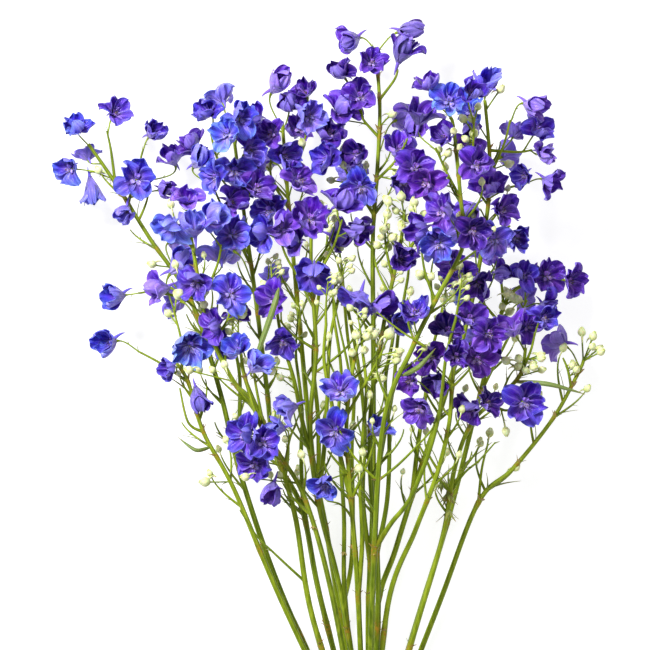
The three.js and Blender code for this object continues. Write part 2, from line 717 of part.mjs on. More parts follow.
// ---- where things go -----------------------------------------------------------------------------
const PITCH = 2 * STEM_FLAT + STEM_GAP;
const STEM_CORNER = STEM_FLAT / Math.cos(Math.PI / 6);
const FIRST_ROW_Z = BAND_THICK + STEM_GAP + STEM_CORNER;

const slotX = (stem) => stem.slot[1] * PITCH;
const rowZ = (row) => FIRST_ROW_Z + row * PITCH * Math.sin(Math.PI / 3);
const slotZ = (stem) => rowZ(stem.slot[0]);

// A stem leaves the band for its own depth, steeply at first and level in the head.
function depthAt(stem, y) {
  const t = Math.min(Math.max((y - TIE_Y) / (HEAD_Y - TIE_Y), 0), 1);
  return mix(slotZ(stem), stem.depth, t * (1.5 - 0.5 * t * t));
}

function stemAxis(stem) {
  const x = slotX(stem);
  const z = slotZ(stem);
  const points = [
    vec(x * CUT_SPREAD, CUT_Y, mix(FIRST_ROW_Z, z, CUT_LIFT)),
    vec(x, TIE_Y - TIE_HALF, z),
    vec(x, TIE_Y + TIE_HALF, z),
    ...stem.route.map(([px, py]) => vec(px, py, depthAt(stem, py))),
  ];
  return smooth(points, SPAN);
}

// The rings of a stem: its cut end, both ends of the stretch in the band, and then wider apart.
function stemRings(stem) {
  const axis = stemAxis(stem);
  return [axis[0], axis[SPAN], ...everyOther(axis.slice(2 * SPAN), 12)];
}

// A branch starts on its stem and comes forward as it grows. A fork is thick and keeps the stem's depth.
function branchRings(stem, route, rings, rise) {
  const points = route.map(([px, py], i) => vec(px, py, depthAt(stem, py) + rise * i));
  const near = (a, b) => (a.distanceTo(points[0]) < b.distanceTo(points[0]) ? a : b);
  points[0] = densify(rings, 6).reduce(near);
  return points;
}

// Beads stand for the pieces while the blooms look for room: each is a ball with an owner.
const CELL = 14;
class Beads {
  constructor() {
    this.cells = new Map();
  }
  key(x, y, z) {
    return `${Math.floor(x / CELL)},${Math.floor(y / CELL)},${Math.floor(z / CELL)}`;
  }
  add(owner, beads) {
    for (const [p, r, kind] of beads) {
      const key = this.key(p.x, p.y, p.z);
      if (!this.cells.has(key)) {
        this.cells.set(key, []);
      }
      this.cells.get(key).push([p, r, owner, kind]);
    }
  }
  // The least room between these beads and the others: negative where they overlap.
  room(owner, beads) {
    let least = 99;
    for (const [p, r, kind] of beads) {
      for (let dx = -1; dx <= 1; dx++) {
        for (let dy = -1; dy <= 1; dy++) {
          for (let dz = -1; dz <= 1; dz++) {
            const found = this.cells.get(this.key(p.x + dx * CELL, p.y + dy * CELL, p.z + dz * CELL));
            for (const [q, s, other, what] of found ?? []) {
              if (other !== owner) {
                least = Math.min(least, p.distanceTo(q) - r - s - CLEAR);
              } else if (kind === "petal") {
                least = Math.min(least, p.distanceTo(q) - OWN[what] * (r + s));
              }
            }
          }
        }
      }
    }
    return least;
  }
}

function beadsAlong(path, radius, spacing) {
  const beads = [];
  for (let i = 0; i < path.length - 1; i++) {
    const count = Math.max(1, Math.ceil(path[i].distanceTo(path[i + 1]) / spacing));
    for (let k = 0; k < count; k++) {
      beads.push([path[i].clone().lerp(path[i + 1], k / count), radius, "stalk"]);
    }
  }
  beads.push([path[path.length - 1], radius, "stalk"]);
  return beads;
}

// The point of a stem from which a stalk can rise to the base of a bloom or a bud.
function footOf(axes, base) {
  let best = null;
  for (const axis of axes) {
    for (let i = 1; i < axis.length - 1; i++) {
      const along = axis[i + 1].clone().sub(axis[i - 1]).normalize();
      const reach = base.clone().sub(axis[i]);
      const far = reach.length();
      const cost = far * (1.6 - reach.dot(along) / Math.max(far, 1));
      if (!best || cost < best.cost) {
        best = { cost, point: axis[i], along, far };
      }
    }
  }
  return best;
}

function stalkPath(axes, base, forward, neck) {
  const foot = footOf(axes, base);
  const start = base.clone().addScaledVector(forward, -neck);
  const reach = start.clone().sub(foot.point);
  return arc(
    foot.point,
    foot.point.clone().addScaledVector(reach, 0.35),
    base.clone().addScaledVector(forward, -neck - 0.3 * foot.far),
    start,
    4,
  );
}

function bloomBeads(bloom) {
  const { base, frame, size, open } = bloom;
  const length = sepalLength(size, open);
  const beads = [[base, 0.1 * size, "petal"]];
  const ring = (count, t, share) => {
    const angle = sepalAngle(open, t);
    for (let k = 0; k < count; k++) {
      const turn = (2 * Math.PI * (k + 0.25 * count)) / count;
      const point = base
        .clone()
        .addScaledVector(frame.right, length * t * Math.sin(angle) * Math.cos(turn))
        .addScaledVector(frame.up, length * t * Math.sin(angle) * Math.sin(turn))
        .addScaledVector(frame.forward, length * t * Math.cos(angle));
      beads.push([point, share * size, "petal"]);
    }
  };
  ring(5, 0.5, 0.11);
  ring(10, 0.88, 0.085);
  beads.push([
    base.clone().addScaledVector(frame.forward, -0.2 * size).addScaledVector(frame.up, 0.12 * size),
    0.06 * size,
    "stalk",
  ]);
  return beads;
}

// Slides a bloom or bud along the depth, nearest place first, until it and its stalk are clear.
function settle(room, owner, axes, wanted, build) {
  let best = null;
  for (let i = 0; i < 90; i++) {
    const slide = Math.ceil(i / 2) * STEP * (i % 2 ? -1 : 1);
    const z = wanted + slide;
    if (z < LOWEST || z > HIGHEST) {
      continue;
    }
    const piece = build(z);
    const free = room.room(owner, piece.beads);
    if (!best || free > best.free) {
      best = { ...piece, free };
    }
    if (free >= 0) {
      break;
    }
  }
  room.add(owner, best.beads);
  return best;
}

function layout() {
  const room = new Beads();
  const plan = STEMS.map((stem) => {
    const axis = stemRings(stem);
    const branches = stem.branches.map((route) => branchRings(stem, route, axis, BRANCH_RISE));
    const forks = stem.forks.map((route) => branchRings(stem, route, axis, 0));
    room.add(stem.name, beadsAlong(axis, STEM_FLAT, 4));
    branches.forEach((branch) => room.add(stem.name, beadsAlong(branch, BRANCH_R, 3)));
    forks.forEach((fork) => room.add(stem.name, beadsAlong(fork, FORK_R, 3)));
    return { stem, axis, branches, forks, blooms: [], buds: [], leaves: [] };
  });
  for (const [index, entry] of plan.entries()) {
    const { stem, axis } = entry;
    const draw = seeded(SEED * (index + 1));
    const sides = [...entry.branches, ...entry.forks].map((side) => densify(side, 5));
    const axes = [densify(axis.slice(4), 8), ...sides];
    const place = (x, y, size, azimuth, elevation, open, wanted) => {
      const frame = bloomFrame(azimuth, elevation, (draw() - 0.5) * 0.8);
      const back = 0.5 * sepalLength(size, open) * Math.cos(sepalLean(open));
      const found = settle(room, stem.name, axes, wanted, (z) => {
        const base = vec(x, y, z).addScaledVector(frame.forward, -back);
        const bloom = { base, frame, size, open };
        const stalk = stalkPath(axes, base, frame.forward, ROOT_BACK * size + 1);
        const beads = [...bloomBeads(bloom), ...beadsAlong(stalk, PEDICEL_R, 3)];
        return { bloom, stalk, beads };
      });
      entry.blooms.push(found);
    };
    for (const [x, y, size, azimuth, elevation, open] of stem.blooms) {
      const rise = FRONT * Math.sin(elevation * RAD) + (draw() - 0.5) * 24;
      place(x, y, size, azimuth, elevation, open, depthAt(stem, y) + rise);
    }
    const [count, from, to] = UNDERSIDE[stem.name] ?? [0, 0, 0];
    for (let k = 0; k < count; k++) {
      const y = mix(from, to, (k + 0.5) / count);
      const near = axes[0].reduce((a, b) => (Math.abs(a.y - y) < Math.abs(b.y - y) ? a : b));
      const side = k % 2 ? 1 : -1;
      const x = near.x + side * (12 + 10 * draw());
      place(x, y, 32, side > 0 ? 20 : 160, -50, 0.9, Math.max(UNDER_Z, near.z - UNDER_DROP));
    }
    for (const [x, y, size] of stem.buds) {
      const wanted = depthAt(stem, y) + 6 + (draw() - 0.5) * 16;
      const foot = footOf(axes, vec(x, y, wanted));
      const aim = vec(x, y, wanted).sub(foot.point).normalize();
      const frame = bloomFrame(Math.atan2(aim.y, aim.x) / RAD, Math.asin(aim.z) / RAD, 0);
      const found = settle(room, stem.name, axes, wanted, (z) => {
        const base = vec(x, y, z).addScaledVector(frame.forward, -0.45 * size);
        const stalk = stalkPath(axes, base, frame.forward, 1);
        const beads = [[vec(x, y, z), 0.45 * size, "petal"], ...beadsAlong(stalk, PEDICEL_R, 3)];
        return { bud: { base, frame, size }, stalk, beads };
      });
      entry.buds.push(found);
    }
    for (const [x0, y0, x1, y1, x2, y2, width] of stem.leaves) {
      const foot = footOf(axes, vec(x0, y0, depthAt(stem, y0)));
      const found = settle(room, stem.name, axes, depthAt(stem, y1) + 12, (z) => {
        const blade = smooth([foot.point, vec(x1, y1, z), vec(x2, y2, z - 8)], 4);
        return { blade, width, beads: beadsAlong(blade.slice(2), 0.5 * width, 4) };
      });
      entry.leaves.push(found);
    }
  }
  return plan;
}

// ---- the pieces ------------------------------------------------------------------------------------
// Petals that would reach below the surface are pressed flat on it, in their order.
function pressed(manifold) {
  return manifold.warp((p) => {
    if (p[2] < PRESS) {
      p[2] = PRESS * Math.exp(p[2] / PRESS - 1);
    }
  });
}

function stemSolid(entry) {
  const parts = [];
  const width = (t) => STEM_CORNER * mix(1, STEM_TIP, t * t);
  parts.push(tube(entry.axis, width, width, 6, vec(1, 0, 0)));
  for (const branch of entry.branches) {
    parts.push(roundTube(branch, BRANCH_R * 1.15, BRANCH_R * 0.8, 3));
  }
  for (const fork of entry.forks) {
    parts.push(roundTube(fork, FORK_R * 1.15, FORK_R * 0.7, 4));
  }
  for (const bloom of entry.blooms) {
    parts.push(bloomSolid(bloom));
  }
  for (const bud of entry.buds) {
    parts.push(budSolid(bud));
  }
  for (const { blade, width: wide } of entry.leaves) {
    const half = (t) => wide * 0.5 * Math.max(0.12, Math.sin(Math.PI * Math.min(0.15 + 0.85 * t, 0.97)));
    parts.push(tube(everyOther(blade, 2), half, () => 0.6, 4, vec(0, 0, 1)));
  }
  const fused = wasm.Manifold.union(parts).simplify(FINE);
  const whole = fused.decompose().reduce((a, b) => (a.volume() > b.volume() ? a : b));
  return pressed(whole);
}

// The band lies flat round the stems: the hull of the bundle's corners, grown by a radius.
const BUNDLE_CORNERS = [[1.5, 0], [2, 1], [1, 3], [-1, 3], [-2, 1], [-1.5, 0]];
function bandOutline(radius) {
  const corners = BUNDLE_CORNERS.map(([column, row]) => new THREE.Vector2(column * PITCH, rowZ(row)));
  const outline = [];
  corners.forEach((corner, i) => {
    const before = corners[(i + corners.length - 1) % corners.length];
    const after = corners[(i + 1) % corners.length];
    const turn0 = Math.atan2(corner.y - before.y, corner.x - before.x) - Math.PI / 2;
    let turn1 = Math.atan2(after.y - corner.y, after.x - corner.x) - Math.PI / 2;
    while (turn1 < turn0) {
      turn1 += 2 * Math.PI;
    }
    for (let k = 0; k <= 3; k++) {
      const turn = mix(turn0, turn1, k / 3);
      outline.push(new THREE.Vector2(corner.x + radius * Math.cos(turn), corner.y + radius * Math.sin(turn)));
    }
  });
  return outline;
}

function bandGeometry() {
  const shape = new THREE.Shape(bandOutline(STEM_CORNER + STEM_GAP + BAND_THICK));
  shape.holes.push(new THREE.Path(bandOutline(STEM_CORNER + STEM_GAP)));
  const geometry = new THREE.ExtrudeGeometry(shape, { depth: BAND_WIDTH, bevelEnabled: false });
  geometry.rotateX(Math.PI / 2);
  geometry.translate(0, TIE_Y + BAND_WIDTH / 2, 0);
  return geometry;
}

function geometryOf(manifold) {
  const { vertProperties, triVerts } = manifold.getMesh();
  const geometry = new THREE.BufferGeometry();
  geometry.setAttribute("position", new THREE.BufferAttribute(new Float32Array(vertProperties), 3));
  geometry.setIndex(new THREE.BufferAttribute(new Uint32Array(triVerts), 1));
  const flat = geometry.toNonIndexed();
  flat.computeVertexNormals();
  return flat;
}

// The blooms run from blue on the left to violet on the right.
function stemMaterial(stem) {
  const tipX = stem.route[stem.route.length - 1][0];
  const share = Math.min(Math.max(tipX / 250 + 0.6, 0), 1);
  const color = new THREE.Color(0x3b45d6).lerp(new THREE.Color(0x5a27b4), share);
  return new THREE.MeshStandardMaterial({ color, roughness: 0.6, metalness: 0 });
}

const bandMaterial = new THREE.MeshStandardMaterial({ color: 0xb98a4e, roughness: 0.7, metalness: 0 });

const plan = layout();
const bunch = new THREE.Group();
bunch.name = "delphinium_bunch";
for (const entry of plan) {
  const mesh = new THREE.Mesh(geometryOf(stemSolid(entry)), stemMaterial(entry.stem));
  mesh.name = entry.stem.name;
  bunch.add(mesh);
}
const band = new THREE.Mesh(bandGeometry(), bandMaterial);
band.name = "rubber_band";
bunch.add(band);

// The origin lies on the surface, under the middle of the whole bunch.
const middle = new THREE.Box3().setFromObject(bunch).getCenter(vec(0, 0, 0));
bunch.position.set(-middle.x, -middle.y, 0);

export default bunch;
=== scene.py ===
"""A bunch of cut delphinium stems that lies on its back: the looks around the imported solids.

The layout below repeats the one that the solids were built from, in millimetres, so that each fine
floret, bud and leaf lies where its solid lies. Lengths are in millimetres until make_piece().
"""

import math

import bpy
import numpy as np
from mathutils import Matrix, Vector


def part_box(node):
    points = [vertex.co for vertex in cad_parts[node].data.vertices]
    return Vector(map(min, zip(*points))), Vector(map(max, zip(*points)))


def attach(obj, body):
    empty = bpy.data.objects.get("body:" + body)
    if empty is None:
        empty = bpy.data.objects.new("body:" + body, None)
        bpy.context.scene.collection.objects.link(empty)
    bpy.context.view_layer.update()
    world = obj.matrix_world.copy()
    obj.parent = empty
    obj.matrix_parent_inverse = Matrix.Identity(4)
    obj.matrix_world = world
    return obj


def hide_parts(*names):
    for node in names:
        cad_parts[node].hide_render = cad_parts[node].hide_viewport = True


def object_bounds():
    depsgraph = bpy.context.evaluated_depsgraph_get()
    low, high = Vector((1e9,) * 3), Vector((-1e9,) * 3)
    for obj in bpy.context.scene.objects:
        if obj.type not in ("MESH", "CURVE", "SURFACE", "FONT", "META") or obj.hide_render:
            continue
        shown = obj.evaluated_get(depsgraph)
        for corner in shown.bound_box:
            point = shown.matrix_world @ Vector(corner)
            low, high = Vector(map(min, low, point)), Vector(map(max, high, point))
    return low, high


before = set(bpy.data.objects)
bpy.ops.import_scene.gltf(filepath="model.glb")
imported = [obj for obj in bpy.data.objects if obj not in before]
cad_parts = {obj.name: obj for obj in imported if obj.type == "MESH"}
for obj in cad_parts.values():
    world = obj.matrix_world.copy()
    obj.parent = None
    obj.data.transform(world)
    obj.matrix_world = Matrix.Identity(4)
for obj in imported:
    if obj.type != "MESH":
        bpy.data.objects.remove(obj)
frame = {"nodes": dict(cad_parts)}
cad_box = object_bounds()

# ---- driving dimensions, as in the solids --------------------------------------------------------
CUT_Y, TIE_Y, HEAD_Y = -196, -121, 330  # the cut ends, the band and the head, along the bunch
TIE_HALF = 8
STEM_FLAT = 2.9  # from a stem's middle to its flat sides, near the foot
STEM_GAP = 0.3
STEM_TIP = 0.56  # the tip's share of that thickness
CUT_SPREAD, CUT_LIFT = 1.9, 1.25  # how far the cut ends spread, as against the band
BAND_WIDTH = 9
BAND_THICK = 1.6
BRANCH_R, FORK_R = 1.45, 2.3
BRANCH_RISE = 5  # how far a branch comes forward at each of its points
ROOT_BACK = 0.06
SPUR_UP, SPUR_BACK = 0.2, 0.3  # shares of the size
LEAN_SHUT, LEAN_OPEN = -10, 74  # the sepals' lean from the bloom's axis, in degrees
PRESS = 4  # what comes lower than this is pressed flat
UNDER_Z, UNDER_DROP, UNDER_ASIDE = 4, 45, (12, 10)  # the blooms of the underside
UNDER_SIZE, UNDER_AZIMUTHS, UNDER_ELEVATION, UNDER_OPEN = 32, (160, 20), -50, 0.9
SPAN = 8  # steps from one point of a route to the next
RING_STRIDE = 12
STEP = 3  # what a piece is slid by
FRONT = 16  # how far a bloom that looks up comes forward
BLOOM_SPREAD, BLOOM_ROLL = 24, 0.8
BUD_RISE, BUD_SPREAD, BUD_HALF = 6, 16, 0.45
LEAF_RISE, LEAF_DROP = 12, 8
FOOT_BIAS = 1.6  # how much a stalk would rather rise along its stem than go straight out
SEED, MODULUS, MULTIPLIER = 104729, 2147483647, 16807
SMALL_DRAWS, LOOK_DRAWS, BAND_DRAWS = 101, 201, 7  # the seeds of what is drawn by itself
PITCH = 2 * STEM_FLAT + STEM_GAP
STEM_CORNER = STEM_FLAT / math.cos(math.pi / 6)
FIRST_ROW_Z = BAND_THICK + STEM_GAP + STEM_CORNER

# ---- the stems, as in the solids -------------------------------------------------------------------
LISTS = ("route", "bloom", "bud", "small", "leaf", "underside", "tuft")
ROUTES = ("fork", "branch", "sprig")  # each of these has a line to itself


def read_stems(table):
    """Each stem by its name, with a list for every kind of line in the table."""
    stems = {}
    for line in table.strip().splitlines():
        kind, *words = line.split()
        if kind.startswith("stem_"):
            row, column, depth, tones = words
            stem = {"slot": (float(row), float(column)), "depth": float(depth), "tones": tones}
            stem.update({key: [] for key in LISTS + ROUTES})
            stems[kind] = stem
            continue
        spots = [tuple(float(value) for value in word.split(",")) for word in words]
        stem[kind] += [spots] if kind in ROUTES else spots
    return stems


# A stem's own line gives its row and column in the band, its depth in the head, and a letter for the
# tone of each bloom. The lines below it give:
#   route, fork, branch: x, y along the stem, along a thick and along a thin side branch
#   sprig: x, y along a bare side branch, from the stem outwards, which only this script adds
#   bloom: x, y, size, azimuth, elevation, openness, steps
#   bud: x, y, length, steps; small: the same for the closed buds that only this script adds
#   leaf: x, y, x, y, x, y, width, steps
#   underside: the stretch of the blooms on the side that the bunch lies on, and the steps of each
#   tuft: x, y, length of a whorl of bracts, and how brown it is
# The steps say how far each piece is slid up or down to be clear of the others. They are those of the
# solids, and for small they were worked out in the same way.
STEMS = read_stems("""
stem_front_right 3 0 150 aidvvvpvbivd
route 2,0 8,130 15,228 34,282 52,320 66,349 86,390 98,418 91,450 88,500 81,530
fork 3,102 22,127 40,150 54,182 62,205 69,232 73,262 77,296 86,330
branch 92,450 78,474 66,500
branch 90,470 102,496 104,530
branch 66,349 56,376 52,400
sprig 9,170 29,186 48,205 63,222 72,244
sprig 9,166 -4,183 -18,200 -30,224
sprig 76,292 56,304 32,319 8,338
bloom 79,545,36,80,60,1,0 100,554,31,60,50,0.9,1 51,530,32,75,20,0.6,0 60,560,29,100,30,0.8,0
bloom 75,510,29,110,50,0.8,2 105,482,34,20,60,1,0 58,466,34,200,50,1,0 73,436,36,150,60,1,0
bloom 69,405,36,240,60,1,0 45,336,36,85,35,1,0 54,418,31,180,40,0.8,-4 102,418,30,340,60,0.9,0
bud 104,514,9,0 78,494,8,0 94,528,8,0 52,375,8,0
small 102,528,7,-2 84,516,7,1 96,508,7,0 90,500,7,0 108,540,7,0 70,498,7,0 62,372,7,0 52,373,8,-1
leaf 34,282,50,284,66,302,5,0
tuft 5,99,7,1
stem_front_left 3 -1 140 lliiivbl
route -28,0 -43,100 -62,150 -80,182 -94,207 -108,228 -118,257 -126,288
branch -85,190 -78,212 -72,226
branch -100,216 -112,268 -114,290
bloom -77,244,28,180,28,0.6,0 -89,223,28,170,28,0.62,1 -121,216,38,160,60,1,0 -105,209,34,40,60,1,3
bloom -112,187,36,240,65,1,0 -95,163,28,260,20,0.6,0 -129,300,30,120,50,0.8,0 -112,284,28,60,30,0.6,1
bud -97,279,8,0 -121,174,8,1
leaf -95,318,-93,345,-89,362,6,0
tuft -60,127,7,1
stem_centre_low 2 -0.5 132 lbbb
route -8,0 -12,100 -17,150 -20,205 -22,250 -14,290 -10,306
fork -9,50 -6,110 -8,170 -5,220 -2,262 -6,300
fork -17,150 -29,200 -37,250 -44,290 -42,326
branch -18,170 -32,190 -40,200
branch -17,150 0,190 6,210
branch -21,240 4,280 14,300
sprig -16,130 -27,146 -41,150
sprig -18,270 -24,302 -31,333 -36,360
bloom -28,259,38,110,70,1,0 -33,219,37,220,70,1,0 8,220,28,60,35,0.7,-6 -43,167,33,250,65,1,0
bud 5,316,13,0 21,316,13,0 -12,314,9,0 -4,300,8,0 12,272,8,0 28,294,8,0
small -2,313,8,0 -16,297,8,0 8,275,7,-1 30,299,7,0 27,289,7,0
stem_left_inner 2 -1.5 116 amllblibvid
route -48,0 -60,60 -74,140 -89,200 -114,239 -137,274 -153,306 -166,350 -174,400 -180,440
fork -105,228 -122,270 -127,300
branch -153,306 -140,330 -136,350
branch -166,350 -150,385 -146,405
sprig -64,66 -77,81 -95,98 -111,114 -128,140
bloom -195,424,38,200,70,1,0 -181,449,31,90,40,0.8,-1 -172,420,33,95,25,0.65,6 -155,430,33,60,35,0.75,-2
bloom -135,415,36,40,60,1,-3 -147,392,32,100,-35,0.7,0 -170,367,38,170,65,1,0 -137,356,36,40,65,1,0
bloom -151,324,32,190,45,0.9,2 -141,306,26,200,50,0.8,-10 -134,338,31,90,50,0.8,-8
bud -187,356,9,0 -163,345,8,0 -126,335,8,0
small -188,354,9,0 -162,358,8,1 -164,339,9,-3 -177,280,8,0
leaf -160,374,-142,372,-124,352,5,0
stem_right_dark 3 1 122 ppvdvvpddv
route 10,0 31,80 47,120 62,158 73,192 80,225 83,254 84,280 88,308 91,336
branch 80,296 100,306 112,314
sprig 66,170 56,195 48,211 37,242
bloom 62,292,34,120,60,1,0 42,270,32,190,50,1,-1 51,243,34,240,60,1,1 80,318,34,100,60,1,-2
bloom 100,330,34,40,60,1,3 118,316,32,0,50,1,0 107,291,36,300,65,1,-2 86,294,30,30,70,0.9,3
bloom 70,268,30,250,50,0.8,1 119,299,26,330,30,0.7,-5
bud 70,330,8,-1
stem_bud_spray 2 0.5 104 ivid
route 8,0 11,104 2,180 1,231 7,270 13,312 19,340 24,372 32,405 36,440
fork 11,100 19,150 21,215 17,268 25,316 22,350
branch 24,372 18,400 16,425
branch 28,388 46,408 50,430
branch 13,312 -2,330 -8,345
bloom -8,354,34,250,40,0.8,0 8,343,29,10,35,0.6,-1 28,330,29,330,30,0.7,4 32,391,29,20,50,0.8,0
bud 20,449,9,0 33,452,9,0 46,446,9,0 19,434,9,0 40,431,9,-1 55,434,9,0 15,420,9,1 34,421,9,0 24,411,9,0
bud 10,404,8,0 53,412,9,0
small 20,446,8,0 20,402,8,0 33,425,8,-1 18,422,7,-2 22,413,7,0 13,412,7,0 52,410,7,-1 28,438,7,1
small 44,440,7,0
stem_right_low 2 1.5 100 iddmvi
route 38,0 60,47 75,114 84,162 90,200 104,228 124,247 142,264 152,276 157,302
branch 124,247 136,240 145,242
branch 152,276 162,300 166,318
branch 84,162 70,172 66,168
sprig 82,160 96,177 111,190 127,208
bloom 155,248,42,340,70,1,0 103,243,32,200,55,0.9,0 118,248,28,30,50,0.9,6 143,319,34,130,40,0.7,0
bloom 159,323,34,60,55,1,-6 175,332,30,20,50,0.9,0
bud 138,289,8,0 150,291,8,0 171,292,8,0 164,283,8,0 137,220,8,0
small 138,289,8,0 150,291,8,-2 171,295,7,0 164,286,7,-2 156,280,7,2 172,280,7,0
leaf 148,268,180,266,216,256,5,0
tuft 70,170,14,0.15 72,156,19,0.2 76,146,17,0.3
stem_left_middle 1 0 92 ivvdmmivi
route -18,0 -33,90 -50,150 -58,200 -56,250 -52,300 -55,350 -58,410 -56,440
fork -20,20 -24,70 -24,130 -27,180 -30,230 -27,280 -34,330
fork -58,190 -66,230 -74,270 -86,310 -92,345
fork -50,150 -44,200 -41,250 -38,310 -30,350
branch -55,350 -80,390 -88,412
branch -56,370 -36,400 -26,430
branch -52,300 -76,316 -88,330
sprig -41,272 -24,300 -6,325 11,352
bloom -54,378,42,270,75,1,0 -58,430,42,80,70,1,0 -28,444,32,60,40,0.8,0 -14,420,34,20,60,1,0
bloom -72,408,29,150,50,0.8,-2 -86,421,34,110,55,1,-1 -104,416,29,170,40,0.8,1 -93,350,32,170,50,0.9,0
bloom -85,308,30,250,45,0.9,0
bud -36,356,8,0
small -97,279,7,0 -87,272,7,0 -121,289,7,0
tuft -27,99,7,1
stem_left_low 1 -2 82 baiiml
route -68,0 -104,93 -134,160 -158,203 -170,232 -180,268 -194,290
branch -164,214 -180,228 -188,262
branch -180,268 -206,286 -230,299
branch -186,278 -186,306 -194,340
bloom -258,308,36,190,28,0.72,0 -178,304,45,270,75,1,2 -196,282,26,200,40,0.8,0 -170,255,25,285,20,0.5,2
bloom -206,362,30,180,20,0.6,0 -190,384,34,45,15,0.55,0
bud -163,168,12,0 -199,336,8,0
leaf -158,203,-172,200,-190,213,4,0
stem_right_top 1 1 74 lamivmvivmvilvd
route 6,0 14,60 28,100 44,150 60,205 76,250 92,300 104,350 114,400 121,450 122,500 117,550
fork 44,150 50,205 57,250 62,290 72,330
branch 121,450 140,462 158,466
branch 122,480 136,506 142,530
branch 117,412 134,420 142,424
branch 122,500 150,498 164,500
bloom 119,564,32,80,25,0.55,0 103,537,31,120,60,1,0 162,545,32,348,30,0.65,0 170,519,32,30,60,1,-1
bloom 147,516,26,60,-30,0.8,0 174,496,28,10,40,0.8,0 180,469,28,343,30,0.65,0 156,474,26,200,50,0.8,0
bloom 120,460,40,90,70,1,2 106,440,34,200,45,0.8,-3 134,440,30,30,45,0.8,1 148,412,30,340,50,0.9,0
bloom 126,410,32,200,60,0.9,2 102,513,33,60,60,0.9,0 110,366,30,300,55,0.9,0
bud 140,486,8,0 132,560,8,0
underside 390,530,0,0
stem_far_right 1 2 70 v
route 52,0 90,85 111,147 132,168 160,196 186,232 205,264 216,290
branch 205,264 200,280 195,292
branch 111,147 114,180 120,206
bloom 195,306,38,150,-25,0.9,0
bud 214,317,8,0 225,313,8,0 232,298,8,0 206,284,8,0 122,216,8,0
small 224,303,7,0 231,301,7,0 208,280,7,0 204,284,7,0
stem_upper_left 1 -1 62 billbbdvviab
route -38,0 -55,93 -66,140 -86,180 -97,210 -102,267 -108,320 -118,390 -126,450 -134,510
fork -60,120 -66,160 -67,200 -66,240 -72,290
branch -118,390 -140,430 -158,470
branch -126,450 -150,490 -158,520
bloom -128,532,40,60,70,1,0 -160,537,32,150,40,0.9,0 -146,552,31,100,-30,0.8,0 -171,488,32,50,30,0.7,0
bloom -134,479,40,300,70,1,0 -152,472,31,200,45,0.9,5 -175,506,27,130,35,0.7,-4 -137,448,33,10,35,0.8,0
bloom -112,462,31,30,50,0.9,0 -118,500,29,20,45,0.8,0 -140,515,33,130,60,1,8 -121,462,30,80,60,0.9,-7
bud -147,508,8,0
underside 380,420,0
stem_centre_tall 0 0.5 60 ddvvdvvidbdmdvv
route -2,0 4,51 5,143 6,230 5,370 5,410 8,455 11,510 12,540 10,575 8,604
fork 4,80 -5,150 -3,220 -9,280 -18,330 -26,370
fork 5,143 14,200 25,260 31,320 40,372
branch 5,440 -14,466 -26,486
branch 9,470 28,490 40,512
branch 12,545 26,570 30,580
branch 11,510 -4,530 -6,538
bloom 33,597,34,75,15,0.55,0 37,620,32,11,30,0.65,0 -14,611,32,200,30,0.7,0 4,588,29,70,60,0.9,1
bloom -26,576,30,130,40,0.75,0 -8,553,37,60,65,1,0 -28,540,35,60,45,0.8,0 -40,490,32,170,45,0.9,0
bloom -38,516,34,100,55,1,-1 -7,463,36,260,60,1,0 -10,496,34,200,55,1,0 30,500,36,40,60,1,-2
bloom 34,468,36,340,60,1,0 44,520,29,60,40,0.7,0 47,482,32,40,60,0.9,5
bud -24,500,8,-1 24,536,8,0
small -32,494,7,-3 -24,484,7,2 -36,470,7,0
underside 450,560,0,0
stem_far_left 0 -1.5 48 bbiilbbdvlb
route -64,0 -98,85 -126,168 -146,234 -154,290 -178,350 -206,392 -232,432 -254,468 -281,507
fork -133,190 -129,230 -129,275 -136,310
branch -243,450 -232,478 -226,500
branch -254,468 -258,500 -262,520
branch -178,350 -212,358 -230,357
bloom -292,520,32,90,70,1,0 -299,482,32,180,50,1,0 -253,539,29,49,40,0.75,0 -217,517,30,45,40,0.75,0
bloom -282,494,26,100,-35,0.8,-1 -278,464,26,280,10,0.45,0 -232,471,42,90,75,1,1 -206,460,26,0,40,0.8,0
bloom -196,492,29,110,25,0.65,-4 -243,440,26,240,30,0.7,2 -251,354,33,188,30,0.65,0
bud -216,386,8,0
underside 320,440,0,0
tuft -160,300,11,0.3
stem_back_right 0 1.5 46 vvimvdbiv
route 40,0 62,60 80,125 98,195 114,260 127,310 136,345 158,368 188,374
branch 132,330 112,352 100,370
branch 136,345 134,370 132,384
branch 118,260 150,330 160,350
bloom 179,374,36,30,60,1,0 203,369,32,350,35,0.8,0 156,374,28,110,50,0.9,1 121,396,33,110,30,0.75,0
bloom 130,376,26,20,40,0.8,2 92,372,32,150,40,0.8,0 104,356,32,200,30,0.8,-7 176,344,27,330,35,0.8,0
bloom 87,388,33,200,60,1,0
bud 140,358,8,-1 148,350,8,1 142,338,8,-2
small 140,355,8,2 145,352,8,2 152,350,7,0 135,343,7,0
underside 290,370,0,0
stem_back_left 0 -0.5 38 mdlvimivvdiv
route -24,0 -30,60 -42,120 -52,170 -60,230 -68,320 -76,410 -82,470 -86,530
fork -26,30 -17,80 -15,140 -16,200 -14,260 -21,320 -26,380
fork -50,160 -50,230 -55,290 -50,350 -42,400
branch -82,470 -66,500 -62,520
branch -80,440 -96,470 -98,490
branch -72,370 -40,400 -30,415
bloom -92,566,34,55,28,0.6,0 -79,544,31,90,50,0.9,0 -60,534,38,50,65,1,4 -97,517,32,150,55,0.9,0
bloom -84,496,31,0,45,0.8,1 -70,470,36,20,45,1,1 -98,440,38,190,60,1,-2 -107,484,31,180,40,0.8,0
bloom -34,412,31,0,30,0.8,2 -62,557,30,110,45,0.9,0 -110,532,30,150,50,0.9,0 -68,522,32,90,55,0.9,-10
bud -66,508,8,0
underside 340,520,0,0,0
""")
